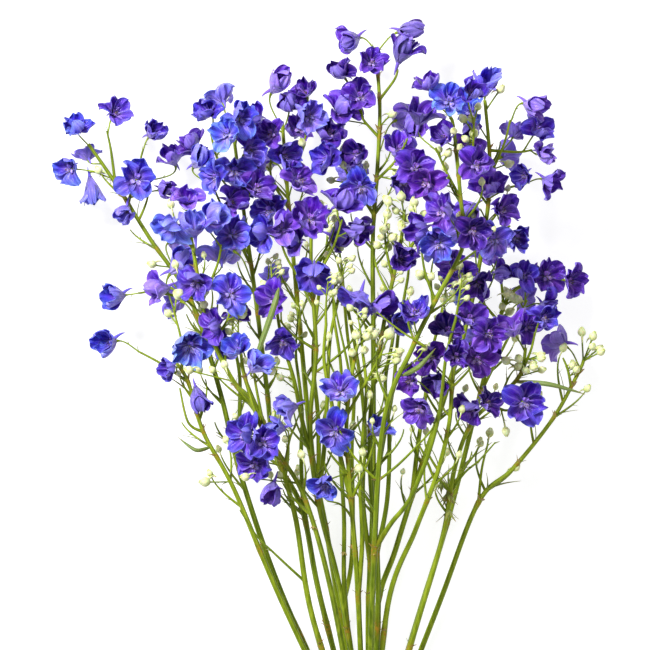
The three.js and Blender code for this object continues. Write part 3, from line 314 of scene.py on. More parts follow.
UNDERSIDE_TONES = "ivi"
# letter: hue from sky blue 0 to purple 1, how dark, how light the lower sepals are; the lower sepals
# lighter and the upper ones darker is painted light and shade
TONE = {
    "a": (0.15, 0.0, 0.85),
    "b": (0.30, 0.14, 0.5),
    "i": (0.5, 0.26, 0.28),
    "v": (0.77, 0.26, 0.24),
    "p": (0.95, 0.2, 0.2),
    "d": (0.78, 0.75, 0.1),
    "l": (0.4, 0.0, 1.0),
    "m": (0.74, 0.0, 0.7),
}

STEM_HUES = {"stem_far_right": 0.12, "stem_right_low": 0.2, "stem_far_left": 0.8}  # 0 is lime, 1 dark
CROWD_MIDDLE, CROWD_HALF = (-10, 420), (150, 115)  # the thick of the head
CROWD_GROWN, CROWD_SIZE = 0.17, 37  # how much larger florets are there, and the most
BUD_GROWN, BUD_SIZE = 1.25, 11  # the same for small buds
BUD_RIPE = 13  # a bud of this size shows its colour
RAD = math.pi / 180
TURN = 6.28  # a full turn, for what is turned at random


def mix(a, b, t):
    return a + (b - a) * t


def vec(x, y, z):
    return np.array([x, y, z], float)


def unit(v):
    return v / np.linalg.norm(v)


def seeded(seed):
    """A generator that draws the same numbers as the one of the solids."""
    state = seed
    while True:
        state = state * MULTIPLIER % MODULUS
        yield state / MODULUS


# ---- paths -----------------------------------------------------------------------------------------
def smooth(points, steps):
    """Uniform Catmull-Rom spans through the points, each cut into the same number of steps."""
    path = []
    last = len(points) - 1
    for i in range(last):
        p0, p1 = points[max(i - 1, 0)], points[i]
        p2, p3 = points[i + 1], points[min(i + 2, last)]
        bend = 2 * p0 - 5 * p1 + 4 * p2 - p3
        twist = 3 * p1 - p0 - 3 * p2 + p3
        for k in range(steps):
            t = k / steps
            path.append(0.5 * (2 * p1 + (p2 - p0) * t + bend * t * t + twist * t * t * t))
    path.append(points[last])
    return np.array(path)


def every_other(path, stride):
    kept = list(path[::stride])
    if (len(path) - 1) % stride:
        kept.append(path[-1])
    return np.array(kept)


def densify(path, steps):
    shares = np.arange(steps) / steps
    dense = [mix(path[i], path[i + 1], t) for i in range(len(path) - 1) for t in shares]
    return np.array(dense + [path[-1]])


def arc(a, b, c, d, steps):
    t = np.linspace(0, 1, steps + 1)[:, None]
    s = 1 - t
    return a * s**3 + b * 3 * s * s * t + c * 3 * s * t * t + d * t**3


def bloom_frame(azimuth, elevation, roll):
    """Forward out of the cup, up along the top sepal, right across."""
    forward = vec(
        math.cos(elevation * RAD) * math.cos(azimuth * RAD),
        math.cos(elevation * RAD) * math.sin(azimuth * RAD),
        math.sin(elevation * RAD),
    )
    level = vec(0, 1, 0) if abs(forward[1]) < 0.9 else vec(0, 0, 1)
    up = unit(level - forward * level.dot(forward))
    right = np.cross(up, forward)
    turned = up * math.cos(roll) + right * math.sin(roll)
    return {"forward": forward, "up": turned, "right": np.cross(turned, forward)}


def frame_along(aim):
    return bloom_frame(math.atan2(aim[1], aim[0]) / RAD, math.asin(aim[2]) / RAD, 0)


def sepal_lean(openness):
    return mix(LEAN_SHUT, LEAN_OPEN, openness) * RAD


def sepal_length(size, openness):
    return 0.5 * size / math.sin(sepal_lean(openness))


# ---- where things go -------------------------------------------------------------------------------
def row_z(row):
    return FIRST_ROW_Z + row * PITCH * math.sin(math.pi / 3)


def depth_at(stem, y):
    t = min(max((y - TIE_Y) / (HEAD_Y - TIE_Y), 0), 1)
    return mix(row_z(stem["slot"][0]), stem["depth"], t * (1.5 - 0.5 * t * t))


def stem_axis(stem):
    x = stem["slot"][1] * PITCH
    z = row_z(stem["slot"][0])
    points = [
        vec(x * CUT_SPREAD, CUT_Y, mix(FIRST_ROW_Z, z, CUT_LIFT)),
        vec(x, TIE_Y - TIE_HALF, z),
        vec(x, TIE_Y + TIE_HALF, z),
    ]
    points += [vec(px, py, depth_at(stem, py)) for px, py in stem["route"]]
    return smooth(points, SPAN)


def stem_rings(stem):
    axis = stem_axis(stem)
    return np.array([axis[0], axis[SPAN], *every_other(axis[2 * SPAN:], RING_STRIDE)])


def nearest(path, point):
    return path[np.argmin(np.linalg.norm(path - point, axis=1))]


def branch_rings(stem, route, rings, rise):
    points = [vec(px, py, depth_at(stem, py) + rise * i) for i, (px, py) in enumerate(route)]
    points[0] = nearest(densify(rings, 6), points[0])
    return np.array(points)


def foot_of(axes, base):
    """The point of a stem from which a stalk can rise to the base of a bloom or a bud."""
    best = None
    for axis in axes:
        along = axis[2:] - axis[:-2]
        along = along / np.linalg.norm(along, axis=1)[:, None]
        reach = base - axis[1:-1]
        far = np.linalg.norm(reach, axis=1)
        cost = far * (FOOT_BIAS - (reach * along).sum(1) / np.maximum(far, 1))
        i = int(np.argmin(cost))
        if best is None or cost[i] < best[0]:
            best = (cost[i], axis[i + 1], far[i])
    return best[1], best[2]


def place_bloom(entry, draw, spot, wanted):
    x, y, size, azimuth, elevation, openness, steps = spot
    around = bloom_frame(azimuth, elevation, (next(draw) - 0.5) * BLOOM_ROLL)
    back = 0.5 * sepal_length(size, openness) * math.cos(sepal_lean(openness))
    base = vec(x, y, wanted + steps * STEP) - back * around["forward"]
    entry["blooms"].append({"base": base, "frame": around, "size": size, "open": openness})


def place_underside(entry, draw, start, end, *moves):
    """Blooms left and right of the stem in turn, on the side that the bunch lies on."""
    axis = entry["axes"][0]
    for k, steps in enumerate(moves):
        y = mix(start, end, (k + 0.5) / len(moves))
        near = axis[np.argmin(abs(axis[:, 1] - y))]
        x = near[0] + (1 if k % 2 else -1) * (UNDER_ASIDE[0] + UNDER_ASIDE[1] * next(draw))
        spot = (x, y, UNDER_SIZE, UNDER_AZIMUTHS[k % 2], UNDER_ELEVATION, UNDER_OPEN, steps)
        place_bloom(entry, draw, spot, max(UNDER_Z, near[2] - UNDER_DROP))


def place_bud(entry, draw, x, y, size, steps):
    wanted = depth_at(entry["stem"], y) + BUD_RISE + (next(draw) - 0.5) * BUD_SPREAD
    foot, _ = foot_of(entry["axes"], vec(x, y, wanted))
    around = frame_along(unit(vec(x, y, wanted) - foot))
    base = vec(x, y, wanted + steps * STEP) - BUD_HALF * size * around["forward"]
    entry["buds"].append({"base": base, "frame": around, "size": size})


def place_leaf(entry, x0, y0, x1, y1, x2, y2, width, steps):
    foot, _ = foot_of(entry["axes"], vec(x0, y0, depth_at(entry["stem"], y0)))
    z = depth_at(entry["stem"], y1) + LEAF_RISE + steps * STEP
    blade = smooth([foot, vec(x1, y1, z), vec(x2, y2, z - LEAF_DROP)], 4)
    entry["leaves"].append({"blade": blade, "width": width})


def lay_out(index, name, stem):
    """Where a stem's branches, blooms, buds and leaves are, with the same draws as in the solids."""
    rings = stem_rings(stem)
    branches = [branch_rings(stem, route, rings, BRANCH_RISE) for route in stem["branch"]]
    forks = [branch_rings(stem, route, rings, 0) for route in stem["fork"]]
    axes = [densify(rings[4:], 8)] + [densify(side, 5) for side in branches + forks]
    entry = {
        "name": name, "stem": stem, "rings": rings, "branches": branches, "forks": forks, "axes": axes,
        "blooms": [], "buds": [], "leaves": [],
    }
    draw = seeded(SEED * (index + 1))
    for spot in stem["bloom"]:
        rise = FRONT * math.sin(spot[4] * RAD) + (next(draw) - 0.5) * BLOOM_SPREAD
        place_bloom(entry, draw, spot, depth_at(stem, spot[1]) + rise)
    for stretch in stem["underside"]:
        place_underside(entry, draw, *stretch)
    for spot in stem["bud"]:
        place_bud(entry, draw, *spot)
    for spot in stem["leaf"]:
        place_leaf(entry, *spot)
    draw = seeded(SEED * (index + SMALL_DRAWS))
    for spot in stem["small"]:
        place_bud(entry, draw, *spot)
    return entry


# ---- meshes ------------------------------------------------------------------------------------------
MM = 0.001
SHARP = 58  # degrees between faces, from which their edge is drawn sharp
band_low, band_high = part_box("rubber_band")
ORIGIN = np.array([
    (band_low.x + band_high.x) / 2,
    (band_low.y + band_high.y) / 2 - TIE_Y * MM,
    band_low.z,
])


def link(name, data):
    thing = bpy.data.objects.new(name, data)
    bpy.context.scene.collection.objects.link(thing)
    return thing


def beside(*parts):
    """The parts side by side as columns, each drawn out to the length of the longest."""
    return np.column_stack(np.broadcast_arrays(*parts))


def turns(count):
    return 2 * np.pi * np.arange(count) / count


def circle(turn, first, second):
    """Directions at the given turns, from the first direction towards the second."""
    return np.outer(np.cos(turn), first) + np.outer(np.sin(turn), second)


def pressed(points):
    """What would reach below the surface is pressed flat on it, in its order."""
    z = points[:, 2]
    flat = PRESS * np.exp(np.minimum(z, PRESS) / PRESS - 1)
    return np.column_stack([points[:, :2], np.where(z < PRESS, flat, z)])


class Shell:
    """One growing mesh. Each corner has two vectors that its material reads: tone and place."""

    def __init__(self):
        self.points, self.tones, self.places, self.faces, self.materials = [], [], [], [], []
        self.count = 0

    def add(self, points, faces, material, tone, place):
        """faces is a list of arrays of corner numbers, one array for each number of sides."""
        points = np.asarray(points, float)
        self.points.append(points)
        self.tones.append(np.broadcast_to(np.asarray(tone, float), points.shape))
        self.places.append(np.broadcast_to(np.asarray(place, float), points.shape))
        for group in faces:
            self.faces.append(np.asarray(group, int) + self.count)
            self.materials.append(np.full(len(group), material))
        self.count += len(points)


def make_piece(name, shell, materials, node):
    mesh = bpy.data.meshes.new(name)
    points = pressed(np.concatenate(shell.points)) * MM + ORIGIN
    corners = np.concatenate([group.ravel() for group in shell.faces])
    sides = np.concatenate([np.full(len(group), group.shape[1]) for group in shell.faces])
    mesh.vertices.add(len(points))
    mesh.vertices.foreach_set("co", points.astype(np.float32).ravel())
    mesh.loops.add(len(corners))
    mesh.loops.foreach_set("vertex_index", corners.astype(np.int32))
    mesh.polygons.add(len(sides))
    starts = np.concatenate([[0], np.cumsum(sides)[:-1]])
    mesh.polygons.foreach_set("loop_start", starts.astype(np.int32))
    mesh.polygons.foreach_set("material_index", np.concatenate(shell.materials).astype(np.int32))
    mesh.polygons.foreach_set("use_smooth", np.ones(len(sides), bool))
    for label, values in (("tone", shell.tones), ("place", shell.places)):
        attribute = mesh.attributes.new(label, "FLOAT_VECTOR", "POINT")
        attribute.data.foreach_set("vector", np.concatenate(values).astype(np.float32).ravel())
    for material in materials:
        mesh.materials.append(material)
    mesh.update(calc_edges=True)
    mesh.validate()
    mesh.set_sharp_from_angle(angle=math.radians(SHARP))
    piece = link(name, mesh)
    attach(piece, "root")
    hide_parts(node)


RIBS = 5
STEM_RIBS, TWIG_RIBS = 0.035, 0.03  # how high the ribs of a green tube are, as a share of its radius
STEM_SIDES = 15


def tangents(path):
    ahead = np.empty_like(path)
    ahead[1:-1] = path[2:] - path[:-2]
    ahead[0] = path[1] - path[0]
    ahead[-1] = path[-1] - path[-2]
    return ahead / np.linalg.norm(ahead, axis=1)[:, None]


def tube_faces(rows, sides):
    """The quads of a tube, and the triangles that close its ends round the two last corners."""
    i, k = np.meshgrid(np.arange(rows - 1), np.arange(sides), indexing="ij")
    a = (i * sides + k).ravel()
    b = (i * sides + (k + 1) % sides).ravel()
    k = np.arange(sides)
    ahead, end = (k + 1) % sides, (rows - 1) * sides
    caps = [beside(rows * sides, ahead, k), beside(rows * sides + 1, end + k, end + ahead)]
    return [np.column_stack([a, b, b + sides, a + sides]), np.concatenate(caps)]


def add_tube(shell, path, radius, sides, material, tone, place=(0, 0, 0), ribs=0.0):
    """A closed tube along a path. radius, tone and place are the same all along it, or have one row
    for each point of it. On a ribbed tube, the first part of place says where the ribs are."""
    path = np.asarray(path, float)
    rows = len(path)
    radius = np.broadcast_to(radius, rows)
    along = tangents(path)
    normal = vec(1, 0, 0) if abs(along[0][0]) < 0.8 else vec(0, 0, 1)
    turn = turns(sides)
    rib = np.cos(turn * RIBS)
    reach = 1 + ribs * rib
    points = []
    for i in range(rows):
        normal = unit(normal - along[i] * normal.dot(along[i]))
        ring = circle(turn, normal, np.cross(along[i], normal))
        points.append(path[i] + radius[i] * reach[:, None] * ring)

    def spread(values):
        values = np.broadcast_to(np.asarray(values, float), (rows, 3))
        return np.concatenate([np.repeat(values, sides, axis=0), values[:1], values[-1:]])

    where = spread(place)
    if ribs:
        where[:, 0] = np.append(np.tile(rib, rows), (0, 0))
    points = np.concatenate(points + [path[:1], path[-1:]])
    shell.add(points, tube_faces(rows, sides), material, spread(tone), where)


def sheet_faces(rows, columns):
    """The faces of a thin blade: a front sheet, a back sheet and the edge between them."""
    r, c = np.meshgrid(np.arange(rows - 1), np.arange(columns - 1), indexing="ij")
    a = (r * columns + c).ravel()
    front = np.column_stack([a, a + columns, a + columns + 1, a + 1])
    back = front[:, ::-1] + rows * columns
    loop = list(range(columns))
    loop += [r * columns + columns - 1 for r in range(1, rows)]
    loop += [(rows - 1) * columns + c for c in range(columns - 2, -1, -1)]
    loop += [r * columns for r in range(rows - 2, 0, -1)]
    loop = np.array(loop)
    ahead = np.roll(loop, -1)
    edge = np.column_stack([loop, ahead, ahead + rows * columns, loop + rows * columns])
    return np.concatenate([front, back, edge])


def add_blade(shell, spine, lateral, half, bulge, thick, material, tone, across, widen=1.0, reach=None):
    """A closed thin blade. spine and lateral have one row for each cross-line, half its half-width,
    bulge the height of each corner over the flat blade, reach how far it is moved along the blade,
    and tone one row for each corner."""
    rows, columns = bulge.shape
    ahead = tangents(spine)
    normal = np.cross(ahead, lateral)
    normal /= np.linalg.norm(normal, axis=1)[:, None]
    flat = spine[:, None] + (half[:, None] * across * widen)[:, :, None] * lateral[:, None]
    if reach is not None:
        flat = flat + reach[:, :, None] * ahead[:, None]
    front = flat + bulge[:, :, None] * normal[:, None]
    back = front - thick * normal[:, None]
    along = np.repeat(np.linspace(0, 1, rows), columns)
    sides = np.tile(across, rows)
    place = np.concatenate([beside(sides, along, back_side) for back_side in (0, 1)])
    points = np.concatenate([front.reshape(-1, 3), back.reshape(-1, 3)])
    tones = np.broadcast_to(np.asarray(tone, float), (rows * columns, 3))
    shell.add(points, [sheet_faces(rows, columns)], material, np.tile(tones, (2, 1)), place)


# ---- the florets -------------------------------------------------------------------------------------
SEPAL, EYE, ANTHER = range(3)  # the materials of a floret piece
STALK, LEAF, CUT = range(3)  # the materials of a green piece
SEPAL_ROWS, SEPAL_COLUMNS, SEPAL_THICK = 13, 11, 0.35
SEPAL_PAINTED_LIGHT = (0.0, 0.3, 1.0, 1.0, 0.3)  # how much of the light tone each sepal takes, as painted light: the lower sepals lighter, the top one darker
SEPAL_LAYER = (-0.06, 0.04, -0.045, 0.01, 0.06)  # how far each lies in front of the others
SEPAL_HALF, WIDEST = 0.272, 0.6  # half its width, and where along it that is
SEPAL_DROOP, SEPAL_CURL, SEPAL_LIFT = 24, 58, 48  # degrees
SEPAL_WAVE, SEPAL_SWELL, SEPAL_PLEAT = 0.054, 0.036, 0.011  # heights, as shares of the size
INNER_THICK = 0.3
STAMENS, STAMEN_R = 9, 0.17
ANTHER_R = np.array([0.2, 0.46, 0.5, 0.2])  # along the anther


def obovate(t, claw, widest):
    """The half-width of a sepal along its length: a narrow claw, widest past the middle, round end."""
    rise = np.clip(t / widest, 0, 1)
    grown = claw + (1 - claw) * (rise * rise * (3 - 2 * rise)) ** 0.75
    fall = np.clip((t - widest) / (1.03 - widest), 0, 1)
    return grown * np.sqrt(1 - fall**2.3)


def around_bloom(bloom, degrees):
    """Two directions at a turn round the bloom: out from its axis, and aside from that."""
    frame, turn = bloom["frame"], degrees * RAD
    out = frame["right"] * math.cos(turn) + frame["up"] * math.sin(turn)
    return out, frame["up"] * math.cos(turn) - frame["right"] * math.sin(turn)


def add_sepal(shell, bloom, k, tone, draw):
    size, openness = bloom["size"], bloom["open"]
    forward = bloom["frame"]["forward"]
    lean = sepal_lean(openness)
    length = sepal_length(size, openness) * (1.05 + 0.11 * next(draw))
    out, aside = around_bloom(bloom, 90 + 72 * k + (next(draw) - 0.5) * 12)
    t = np.sin(0.5 * np.pi * np.linspace(0, 1, SEPAL_ROWS))  # closer rows towards the round end
    droop = (next(draw) - 0.6) * SEPAL_DROOP * RAD
    curl = (next(draw) - 0.5) * SEPAL_CURL * RAD
    # some sepals stand up over the face
    lift = SEPAL_LIFT * RAD * openness * max(0.0, next(draw) - 0.7) / 0.3
    angle = lean + mix(9, -5, t) * RAD + droop * t + curl * t**3 - lift * (0.35 + 0.65 * t)
    far = length * (0.025 + 0.975 * t)
    ahead = far * np.cos(angle) + size * 0.5 * SEPAL_LAYER[k] * np.sqrt(t)
    spine = bloom["base"] + np.outer(far * np.sin(angle), out) + np.outer(ahead, forward)
    twist = ((next(draw) - 0.5) * 0.6 + 0.14) * t
    lateral = circle(twist, aside, forward)
    across = np.linspace(-1, 1, SEPAL_COLUMNS)
    u, v = across[None, :], t[:, None]
    # the way round the rim of the sepal, 0 at its tip, and how near to the rim
    past = np.maximum(v - 0.45, 0) / 0.55
    rim = np.arctan2(u, past + 0.15)
    near = np.clip(u**2 + past**2, 0, 1.3)
    phase, ripple, ruffle = next(draw) * TURN, next(draw) * TURN, 0.5 + next(draw)
    half = size * (SEPAL_HALF + 0.07 * (1 - openness)) * obovate(t, 0.24, WIDEST)
    half = half * (0.92 + 0.16 * next(draw))
    widen = 1 + 0.03 * near**2 * np.sin(5 * rim + ripple)
    notch = 0.3 + next(draw)
    uneven = 0.01 * np.sin(6 * u + phase) - 0.032 * notch * np.exp(-((u / 0.3) ** 2))
    reach = size * v**6 * (0.045 * (1 - u**2) + uneven)
    radius = np.maximum(far * np.sin(lean), 0.12 * size)[:, None]
    wrap = (half[:, None] * u) ** 2 * math.cos(lean) / (2 * radius)
    fold = 0.02 + 0.2 * max(0.0, next(draw) - 0.66) / 0.34
    cup = (0.02 + 0.13 * next(draw)) * u**2 * np.sin(np.pi * np.minimum(v * 1.02, 0.85)) * openness
    wave = SEPAL_WAVE * ruffle * near**1.2 * np.sin(5.2 * rim + phase) * np.clip(v * 2, 0, 1)
    swell = SEPAL_SWELL * ruffle * np.sin(4.2 * v + 2.6 * u + phase) * v
    pleat = SEPAL_PLEAT * ruffle * np.sin(9 * u + ripple) * np.sin(np.pi * np.minimum(v + 0.1, 1))
    bulge = wrap + size * (cup + wave + swell + pleat + fold * np.abs(u) * v * (1.2 - v))
    hue, dark, light = tone
    # painted light and shade: the lower sepals take the light tone with a pale stripe, the upper ones more
    # of the dark tone
    lower = SEPAL_PAINTED_LIGHT[k]
    stripe = np.exp(-((v / 0.62) ** 2)) * (1 - 0.5 * u**2)
    edge = 0.4 * np.clip(near, 0, 1) ** 3
    lights = np.clip(light * (0.05 + 0.95 * lower) * (0.6 + 0.5 * stripe) + edge * (0.3 + light), 0, 1)
    # painted shade in the throat, darkest at the root of the upper sepals
    throat = np.exp(-((v / 0.45) ** 2)) * (1 - 0.8 * lower)
    darks = np.clip(dark * (1.1 - 0.5 * lower) + 0.65 * throat + 0.3 * (next(draw) - 0.5), 0, 1)
    # the throat is more purple than the rim
    purple = 0.5 * (1.05 - hue) * np.exp(-((v / 0.6) ** 2)) * (1 - 0.4 * u**2)
    hues = hue + 0.1 * (next(draw) - 0.5) + purple - 0.11 * near
    tones = np.column_stack([np.broadcast_to(part, bulge.shape).ravel() for part in (hues, darks, lights)])
    add_blade(shell, spine, lateral, half, bulge, SEPAL_THICK, SEPAL, tones, across, widen, reach)


def add_spur(shell, bloom, tone):
    size = bloom["size"]
    up, forward, base = bloom["frame"]["up"], bloom["frame"]["forward"], bloom["base"]
    path = arc(
        base + 0.07 * size * up + 0.06 * size * forward,
        base + 0.15 * size * up - 0.08 * size * forward,
        base + 0.2 * size * up - 0.24 * size * forward,
        base + 0.9 * SPUR_UP * size * up - SPUR_BACK * size * forward,
        9,
    )
    t = np.linspace(0, 1, len(path))
    radius = size * (0.05 * (1 - t) ** 1.1 + 0.011)
    hue, dark, light = tone
    paint = (hue + 0.1, dark * 0.6, 0.2 * light)
    add_tube(shell, path, radius, 8, SEPAL, paint, beside(0, 0.6 - 0.4 * t, 0.6))


# the inner petals: their turn round the bloom, lean, length and half-width, and how white they are
INNER = (
    (70, 12, 0.16, 0.046, 0.25), (110, 12, 0.16, 0.046, 0.25),
    (222, 34, 0.17, 0.056, 0.8), (318, 34, 0.17, 0.056, 0.8),
)


def add_eye(shell, bloom, tone, draw):
    """The four small inner petals, two above and two bearded ones below, and the stamens."""
    size, base = bloom["size"], bloom["base"]
    forward = bloom["frame"]["forward"]
    squeeze = mix(0.55, 1, (bloom["open"] - 0.45) / 0.55)
    across = np.linspace(-1, 1, 5)
    t = np.linspace(0, 1, 7)
    for turn, lean, far, wide, white in INNER:
        out, aside = around_bloom(bloom, turn + (next(draw) - 0.5) * 12)
        angle = (lean + 34 * t**1.5) * squeeze * RAD
        spine = base + np.outer(size * (0.02 + far * t * np.sin(angle)), out)
        spine = spine + np.outer(size * (0.05 + far * t * np.cos(angle)), forward)
        half = size * wide * obovate(t, 0.35, 0.72)
        phase = next(draw) * TURN
        bulge = size * 0.022 * np.sin(across * 3.4 + t[:, None] * 5 + phase) * t[:, None]
        lateral, paint = np.tile(aside, (len(t), 1)), (tone[0], 0, white)
        add_blade(shell, spine, lateral, half, bulge, INNER_THICK, EYE, paint, across)
    for k in range(STAMENS):
        out, _ = around_bloom(bloom, 360 * (k + next(draw) * 0.7) / STAMENS)
        lean = (0.02 + 0.075 * next(draw)) * size * squeeze
        sag = 0.03 * size * squeeze * bloom["frame"]["up"]
        tip = base + lean * out - sag + (0.15 + 0.09 * next(draw)) * size * forward
        root = base + 0.02 * size * out
        bend = mix(root, tip, 0.6) + 0.02 * size * forward
        pale = (tone[0], 0, 0.15 + 0.75 * next(draw))
        path = arc(root, mix(root, bend, 0.7), bend, tip, 3)
        add_tube(shell, path, STAMEN_R, 3, EYE, pale, (0, 0.2, 0))
        side = unit(unit(tip - root) + vec(0.5, 0.3, 0.2) * (next(draw) - 0.5))
        anther = tip + np.outer(np.linspace(-0.5, 1.3, 4), side)
        add_tube(shell, anther, ANTHER_R, 4, ANTHER, tone, (0, next(draw), 0))


def crowd(point):
    """How near a point is to the thick of the head: 1 there, 0 at its edge."""
    x, y = [(point[i] - CROWD_MIDDLE[i]) / CROWD_HALF[i] for i in (0, 1)]
    return math.exp(-(x**4) - y**4)


def add_floret(shell, bloom, tone, draw):
    for k in range(5):
        add_sepal(shell, bloom, k, tone, draw)
    add_spur(shell, bloom, tone)
    add_eye(shell, bloom, tone, draw)


# ---- stalks, buds and leaves ---------------------------------------------------------------------------
STALK_R = 0.82
STALK_BRACTS = ((1, 7), (6, 3.5))  # at which point of the stalk, and how long
SPRIG_RISE = 3


def add_stalk(shell, entry, bloom, top, draw):
    """The stalk of a floret or bud, seated on the stem or branch that carries it."""
    base, forward = bloom["base"], bloom["frame"]["forward"]
    foot, far = foot_of(entry["axes"], base)
    neck = ROOT_BACK * bloom["size"] if "open" in bloom else 0
    start = base + (0.45 * neck - 0.2) * forward
    seat = nearest(entry["fine"], foot)
    path = arc(seat, seat + 0.35 * (start - seat), base - (neck + 0.3 * far) * forward, start, 12)
    t = np.linspace(0, 1, len(path))
    radius = STALK_R + 0.5 * np.exp(-t * 14) + (top - STALK_R) * np.clip((t - 0.8) / 0.2, 0, 1) ** 1.5
    hue = next(draw)
    tone = beside(hue, np.exp(-t * 9) * 0.6, 0.25 + 0.35 * t)
    add_tube(shell, path, radius, 6, STALK, tone)
    for i, length in STALK_BRACTS:
        length += 2.5 * next(draw)
        add_bract(shell, path[i], path[i + 1] - path[i - 1], length, next(draw) * TURN, hue)


BRACT_HALF = np.array([0.6, 0.9, 1, 0.9, 0.68, 0.4, 0.1])


def add_bract(shell, root, ahead, length, turn, hue, wide=0.6, dry=0.0):
    """A narrow pointed bract that leans away from its stalk."""
    ahead = unit(ahead)
    side = np.cross(ahead, vec(0, 0, 1) if abs(ahead[2]) < 0.8 else vec(1, 0, 0))
    side = unit(side)
    out = side * math.cos(turn) + np.cross(ahead, side) * math.sin(turn)
    half = wide * BRACT_HALF
    rows = len(half)
    t = np.linspace(0, 1, rows)
    spine = root + np.outer(length * t, ahead) * 0.75 + np.outer(length * t**1.5, out) * 0.6
    lateral = np.tile(np.cross(ahead, out), (rows, 1))
    across = np.linspace(-1, 1, 3)
    bulge = np.tile(0.3 * np.abs(across), (rows, 1)) * half[:, None]
    add_blade(shell, spine, lateral, half, bulge, 0.25, LEAF, (hue, dry, 0.6), across)


BUD_ROWS = np.array([0, 0.1, 0.25, 0.42, 0.58, 0.72, 0.84, 0.93, 1.0])
BUD_SWELL = np.array([0.14, 0.26, 0.37, 0.42, 0.4, 0.33, 0.24, 0.16, 0.08])
BUD_SIDES = 15


def add_bud(shell, bud, draw):
    """Five sepals closed to an egg with a toothed mouth, and the short spur behind."""
    size = max(bud["size"], min(BUD_GROWN * bud["size"], BUD_SIZE))
    around, base = bud["frame"], bud["base"]
    turn = turns(BUD_SIDES) + next(draw) * 1.2
    lobe = np.cos(turn * 5)
    ring = circle(turn, around["right"], around["up"])
    points = []
    places = []
    for along, swell in zip(BUD_ROWS, BUD_SWELL):
        centre = base + np.outer(size * (along * 0.98 + 0.09 * along**6 * lobe), around["forward"])
        points.append(centre + size * swell * (1 + 0.07 * lobe)[:, None] * ring)
        places.append(beside(lobe, along, 0))
    points = np.concatenate(points + [[base], [base + 0.88 * size * around["forward"]]])
    places = np.concatenate(places + [[[0, 0, 0]], [[0, 1, 0]]])
    tone = (next(draw), min(size / BUD_RIPE, 1), next(draw))
    shell.add(points, tube_faces(len(BUD_ROWS), BUD_SIDES), 0, tone, places)
    path = arc(
        base + 0.2 * size * around["forward"] + 0.2 * size * around["up"],
        base + 0.45 * size * around["up"],
        base + 0.55 * size * around["up"] - 0.25 * size * around["forward"],
        base + 0.5 * size * around["up"] - 0.55 * size * around["forward"],
        5,
    )
    t = np.linspace(0, 1, len(path))
    add_tube(shell, path, size * (0.1 * (1 - t) + 0.03), 5, 0, tone, (0, 0.3, 0))


def add_leaf(shell, leaf, hue):
    blade = smooth(list(leaf["blade"][::2]), 4)
    rows = len(blade)
    t = np.linspace(0, 1, rows)
    along = tangents(blade)
    lateral = np.cross(along, vec(0, 0, 1))
    lateral /= np.linalg.norm(lateral, axis=1)[:, None]
    half = 0.5 * leaf["width"] * np.maximum(0.1, np.sin(np.pi * np.minimum(0.15 + 0.85 * t, 0.97)))
    across = np.linspace(-1, 1, 7)
    fold = 0.55 * np.abs(across) * half[:, None]
    bulge = fold + 0.35 * np.sin(9 * t[:, None] + across * 2) * np.abs(across)
    add_blade(shell, blade, lateral, half, bulge, 0.4, LEAF, (hue, 0, 0.2), across)


STEM_MARGIN = 0.12  # by how much a stem is thicker than in the solids
NODES = (0.38, 0.55, 0.68, 0.78, 0.87)  # where along a stem they are, besides where it branches
NODE_SWELL, NODE_LENGTH, SCAR_LENGTH = 0.5, 4.5, 4.0
SHADE_DEPTH = 150  # stems further back than this are painted darker, as painted shade deep in the bunch


def add_stem(shell, entry, draw):
    """The stem with its ribs and swollen nodes, its branches, and the cut end."""
    rings = entry["rings"]
    fine = smooth(list(rings), 10)
    fine = np.concatenate([densify(fine[:12], 2)[:-1], fine[12:]])
    far = np.concatenate([[0], np.cumsum(np.linalg.norm(np.diff(fine, axis=0), axis=1))])
    share = far / far[-1]
    radius = (STEM_FLAT + STEM_MARGIN) * mix(1, STEM_TIP, share**2)
    nodes = [nearest(fine, side[0]) for side in entry["branches"] + entry["forks"]]
    nodes += [fine[int(len(fine) * f)] for f in NODES]
    scar = np.zeros(len(fine))
    for node in nodes:
        gap = np.linalg.norm(fine - node, axis=1)
        radius = radius + NODE_SWELL * np.exp(-((gap / NODE_LENGTH) ** 2)) * mix(1, 0.5, share)
        scar = np.maximum(scar, np.exp(-((gap / SCAR_LENGTH) ** 2)))
    hue = STEM_HUES.get(entry["name"], next(draw))
    # painted shade: the stems further back take less of the pale young tone
    back = 1 - min(entry["stem"]["depth"] / SHADE_DEPTH, 1)
    tone = beside(hue, scar, np.clip(share * 1.1 - 0.15 - 0.2 * back, 0, 1))
    add_tube(shell, fine, radius, STEM_SIDES, STALK, tone, ribs=STEM_RIBS)
    add_cut_end(shell, fine, radius[0])
    entry["fine"] = fine
    entry["main"] = fine
    for node in nodes:
        i = min(max(int(np.argmin(np.linalg.norm(fine - node, axis=1))), 1), len(fine) - 2)
        ahead, turn = fine[i + 1] - fine[i - 1], next(draw) * TURN
        add_bract(shell, fine[i], ahead, 9 + 5 * next(draw), turn, hue)
        for aside in (-0.5, 0.6):
            length = 8 + 4 * next(draw)
            add_bract(shell, fine[i] - unit(ahead), ahead, length, turn + 3 + aside, hue, 2.4, 0.9)
    sides = [(branch, BRANCH_R, 9) for branch in entry["branches"]]
    sides += [(fork, FORK_R, 12) for fork in entry["forks"]]
    for side, width, count in sides:
        seat = nearest(fine, side[0])
        path = smooth([seat, *side[1:]], 8)
        t = np.linspace(0, 1, len(path))
        entry["fine"] = np.concatenate([entry["fine"], path])
        thick = width * mix(1.1, 0.65, t) + 0.5 * np.exp(-t * 16)
        tone = beside(hue, np.exp(-t * 12), 0.3 + 0.4 * t)
        add_tube(shell, path, thick, count, STALK, tone, ribs=STEM_RIBS)


SHOOT_BUDS = ((4, 9), (7, 8), (9, 7), (11, 6), (13, 5))  # at which point of the shoot, and how far off it


